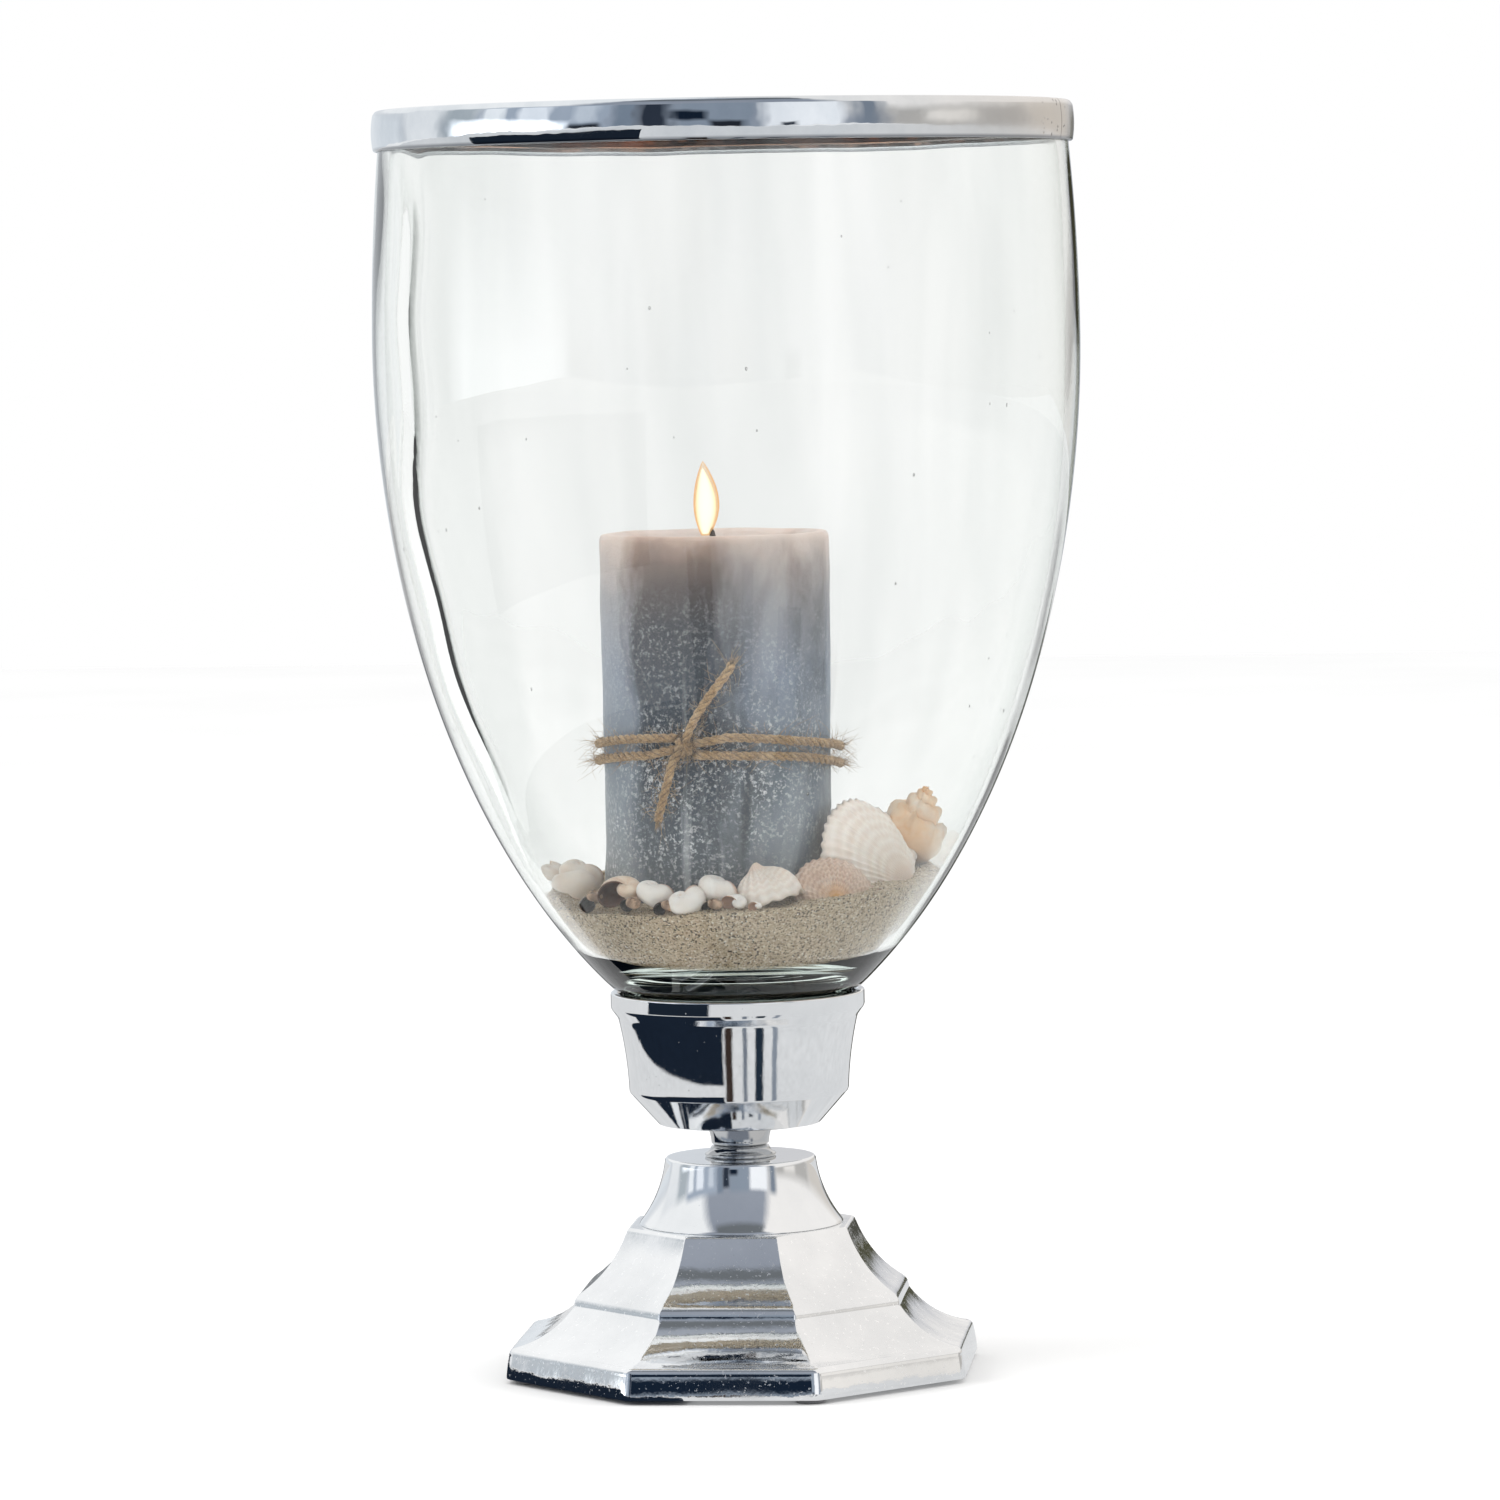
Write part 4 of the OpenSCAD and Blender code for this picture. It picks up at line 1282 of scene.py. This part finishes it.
def make_shells():
    cream = shell("shell_cream", (0.96, 0.87, 0.78), (0.78, 0.58, 0.45), 0.30, mouth=(0.70, 0.48, 0.34))
    ribbed = shell("shell_ribbed", (0.98, 0.90, 0.83), (0.76, 0.58, 0.47), 0.30, scale=0.7)
    orange = shell("shell_orange", (0.84, 0.66, 0.54), (0.44, 0.24, 0.15), 0.42, scale=1.4,
                   hinge=(0.80, 0.42, 0.12))
    peach = shell("shell_peach", (0.98, 0.78, 0.58), (0.88, 0.48, 0.20), 0.50, mouth=(0.80, 0.40, 0.20))
    white = shell("shell_white", (0.98, 0.94, 0.90), (0.84, 0.68, 0.56), 0.18, gloss=0.42,
                  mouth=(0.62, 0.38, 0.26))
    brown = shell("shell_brown", (0.62, 0.42, 0.28), (0.10, 0.05, 0.028), 0.70, gloss=0.42, scale=2.2,
                  mouth=(0.02, 0.012, 0.008))
    tawny = shell("shell_tan", (0.95, 0.80, 0.66), (0.62, 0.34, 0.18), 0.30, gloss=0.40,
                  mouth=(0.12, 0.05, 0.025))
    # Name, CAD node, shape, turn (about X, Y, Z and its own axis), material, slot and size against the node.
    for name, node, shape, turn, material, slot, fill in (
        ("large_scallop", "scallop_large", fan_shell(18.6, 6.8, 26, 0.42),
         (60, 0, 40, 34), ribbed, "cream", 1.04),
        ("fan_scallop", "scallop_small", fan_shell(11.4, 5.2, 22, 0.46),
         (36, 0, 10, -4), orange, "orange", 1.10),
        ("ribbed_cockle", "cockle", fan_shell(9.4, 7.4, 13, 0.62, 78, 0.04),
         (28, 0, 0, -146), ribbed, "cream", 1.10),
        ("spiky_whelk", "whelk", whorls(8.6, 4.2, 1.8, 1.5, 9, 0.6), (6, 24, 0, 60), peach, "orange", 1.05),
        ("nerite_snail", "nerite", whorls(5.6, 2.4, 3.0, 0.35, lip=0.90),
         (24, 0, 8, 44), tawny, "brown", 1.12),
    ):
        low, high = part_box(node)
        placed = moved_to(turned_by(shape, *turn), (low + high) / 2, max(high - low) * fill)
        piece(name, placed, material, "bowl", [node], mapped=True)
    backs = ((16, 10, 0, 148), (30, -12, 0, 190), (8, 14, 0, 120), (24, 0, 0, 230), (-6, -10, 0, 170))
    fronts = ((22, 8, 0, 116), (10, -10, 0, 140), (28, 0, 0, 96), (14, 12, 0, 122), (20, -6, 0, 104))
    # Name, CAD node, whorls, turns and the first one taken, material, slot and size against each solid.
    for name, node, coil, turns, first, material, slot, fill in (
        ("moon_snail_group", "moon_snails", (5, 2.6, 3.2, 0.5), backs, 0, white, "white", 1.26),
        ("pebble_shell_group", "pebble_shells", (3, 2.2, 3.6, 0.3), fronts, 2, white, "white", 1.3),
        ("brown_snail_group", "brown_snails", (2.5, 3.2, 2.2, 0.9), fronts, 1, brown, "brown", 1.45),
        ("cream_shell_group", "cream_shells", (5, 2.6, 3.0, 0.5), backs, 3, cream, "cream", 1.3),
    ):
        parts = []
        for i, (centre, size) in enumerate(solids(node)):
            snail = turned_by(whorls(*coil), *turns[(i + first) % 5])
            parts.append(moved_to(snail, centre, 2 * size * fill))
        piece(name, joined(parts), material, "bowl", [node], mapped=True)


make_shells()
make_seeds()


# ---------- stage ----------

ROOM = (
    # azimuth from, to, elevation from, to, softness, all in degrees and 0 towards the camera; colour
    (-182, -56, 8, 90, 7, (0.99, 1.0, 1.005)),
    (40, 182, 5, 90, 6, (0.97, 0.945, 0.92)),
    (-182, -128, -30, 10, 6, (0.78, 0.82, 0.86)),
    (-128, -104, -30, 24, 3, (0.88, 0.90, 0.92)),
    (-104, -86, -30, 24, 4, (0.46, 0.51, 0.55)),
    (-86, -36, -20, 28, 3, (0.40, 0.46, 0.55)),
    (-84, -75, -4, 22, 1.5, (0.92, 0.96, 1.0)),
    (-70, -58, -4, 22, 1.5, (0.88, 0.93, 1.0)),
    (-50, -42, 2, 22, 2, (0.62, 0.68, 0.76)),
    (-98, -54, -9, 3, 4, (2.8, 2.9, 3.0)),
    (-52, -40, -14, 0, 2, (0.015, 0.02, 0.03)),
    (-36, -27, -20, 28, 2, (0.22, 0.27, 0.34)),
    (-27, -17, -20, 24, 2, (0.03, 0.04, 0.06)),
    (-17, 12, -20, 28, 3, (0.28, 0.33, 0.40)),
    (-17, -5, 2, 13, 2, (0.008, 0.016, 0.032)),
    (-4, 8, -14, 2, 2, (0.02, 0.025, 0.035)),
    (14, 40, -6, 26, 2, (1.0, 1.02, 1.05)),
    (19, 24, -10, -1, 1, (0.05, 0.06, 0.08)),
    (44, 54, -20, 28, 3, (0.22, 0.26, 0.32)),
    (54, 118, -20, 12, 4, (0.52, 0.505, 0.485)),
    (118, 156, -20, 12, 5, (0.70, 0.66, 0.61)),
    (69, 90, -2, 9, 3, (0.90, 0.87, 0.83)),
    (160, 169, -14, 3, 1, (0.08, 0.08, 0.05)),
    (-46, 40, 58, 70, 3, (0.16, 0.175, 0.19)),
)


def make_world():
    """White to the eye and through glass. Mirrors see a soft room, with windows either side."""
    world = bpy.data.worlds.new("studio")
    bpy.context.scene.world = world
    world.use_nodes = True
    w = Nodes(world.node_tree, "Generated")

    def along(direction):
        n = w.node("VectorMath")
        n.operation = "DOT_PRODUCT"
        w.fill(n.inputs[0], w.place)
        w.fill(n.inputs[1], direction)
        return n.outputs["Value"]

    azimuth = w.math("ARCTAN2", along(towards(1, 0, 0)), along(towards(0, 1, 0)))
    elevation = w.math("ARCSINE", along((0, 0, 1)))
    color = w.ramp(w.span(elevation, -0.4, 1.5), (0.0, (0.62, 0.64, 0.66)), (0.22, (0.36, 0.39, 0.45)),
                   (0.8, (0.30, 0.33, 0.39)), (1.0, (0.42, 0.45, 0.50)))
    for left, right, low, high, soft, shade in ROOM:
        a = w.within(azimuth, radians(left), radians(right), radians(soft))
        b = w.within(elevation, radians(low), radians(high), radians(soft))
        color = w.mix(w.times(a, b), color, shade)
    room = w.node("Background", Color=color)
    back = w.tree.nodes["Background"]
    path = w.node("LightPath").outputs
    lit = w.math("MINIMUM", path["Diffuse Depth"], 1.0)
    w.fill(back.inputs["Color"], (1, 1, 1))
    w.fill(back.inputs["Strength"], w.plus(w.times(lit, 0.9), 1.0))
    w.show_mixed("World Output", w.times(path["Is Glossy Ray"], path["Is Reflection Ray"]), back, room)


# Dark and pale things on the table beside the camera, which only mirrors see. Each has its azimuths and
# distances, from and to, in degrees and metres, and its colour.
TABLE_THINGS = (
    (-180, 180, 0.0, 4.0, (0.88, 0.89, 0.90)),
    (-125, -15, 0.03, 0.36, (0.012, 0.020, 0.036)),
    (-13, -6, 0.12, 0.80, (0.05, 0.035, 0.03)),
    (4, 8, 0.12, 0.70, (0.22, 0.25, 0.30)),
    (16, 24, 0.14, 0.55, (0.02, 0.034, 0.055)),
    (33, 38, 0.12, 0.70, (0.30, 0.34, 0.40)),
    (-88, -26, 0.70, 2.6, (0.014, 0.022, 0.036)),
    (162, 172, 0.10, 2.6, (0.09, 0.09, 0.075)),
    (-172, -164, 0.10, 2.6, (0.30, 0.315, 0.33)),
)


def make_table_things():
    for i, (left, right, near, far, shade) in enumerate(TABLE_THINGS):
        steps = 96 if right - left > 300 else 16
        verts = []
        for distance in (near, far):
            for k in range(steps + 1):
                a = radians(left + (right - left) * k / steps)
                verts.append(towards(distance * sin(a), distance * cos(a), 0.0008 + 0.0002 * i))
        s = Shader(f"table_thing_{i}", roughness=1.0, specular=0.0, color=(0, 0, 0))
        s.set(emission=s.mix(s.noise(40, 3), shade, [c * 0.7 for c in shade]), emission_strength=1.0)
        mesh = mesh_of(s.material.name, verts, grid_faces(2, steps + 1, wrap_columns=False))
        mesh.materials.append(s.material)
        card = in_scene(mesh.name, mesh)
        card.visible_camera = False
        card.visible_diffuse = False
        card.visible_transmission = False
        card.visible_shadow = False


def make_floor():
    corners = ((-4, -4), (4, -4), (4, 4), (-4, 4))
    mesh = mesh_of("floor", [(x, y, -0.0002) for x, y in corners], [(0, 1, 2, 3)])
    s = Shader("pale_floor", roughness=0.9, specular=0.0)
    s.set(color=s.ramp(s.noise(3, 3), (0.3, 0.52), (0.7, 0.54)))
    mesh.materials.append(s.material)
    in_scene("floor", mesh)


def area_light(name, place, target, size, power, color=(1, 1, 1)):
    data = bpy.data.lights.new(name, "AREA")
    data.shape = "RECTANGLE"
    data.size, data.size_y = size
    data.energy = power
    data.color = color
    light = in_scene(name, data)
    light.location = place
    light.rotation_euler = (Vector(target) - Vector(place)).to_track_quat("-Z", "Y").to_euler()
    light.visible_glossy = False
    light.visible_transmission = False


make_world()
make_floor()
make_table_things()
area_light("left_window", towards(-1.6, 0.5, 1.2), (0, 0, 0.2), (1.2, 1.6), 30)
area_light("right_window", towards(1.8, 0.2, 0.9), (0, 0, 0.2), (1.4, 1.6), 24, (1, 0.97, 0.94))
bpy.context.scene.view_settings.view_transform = "Standard"
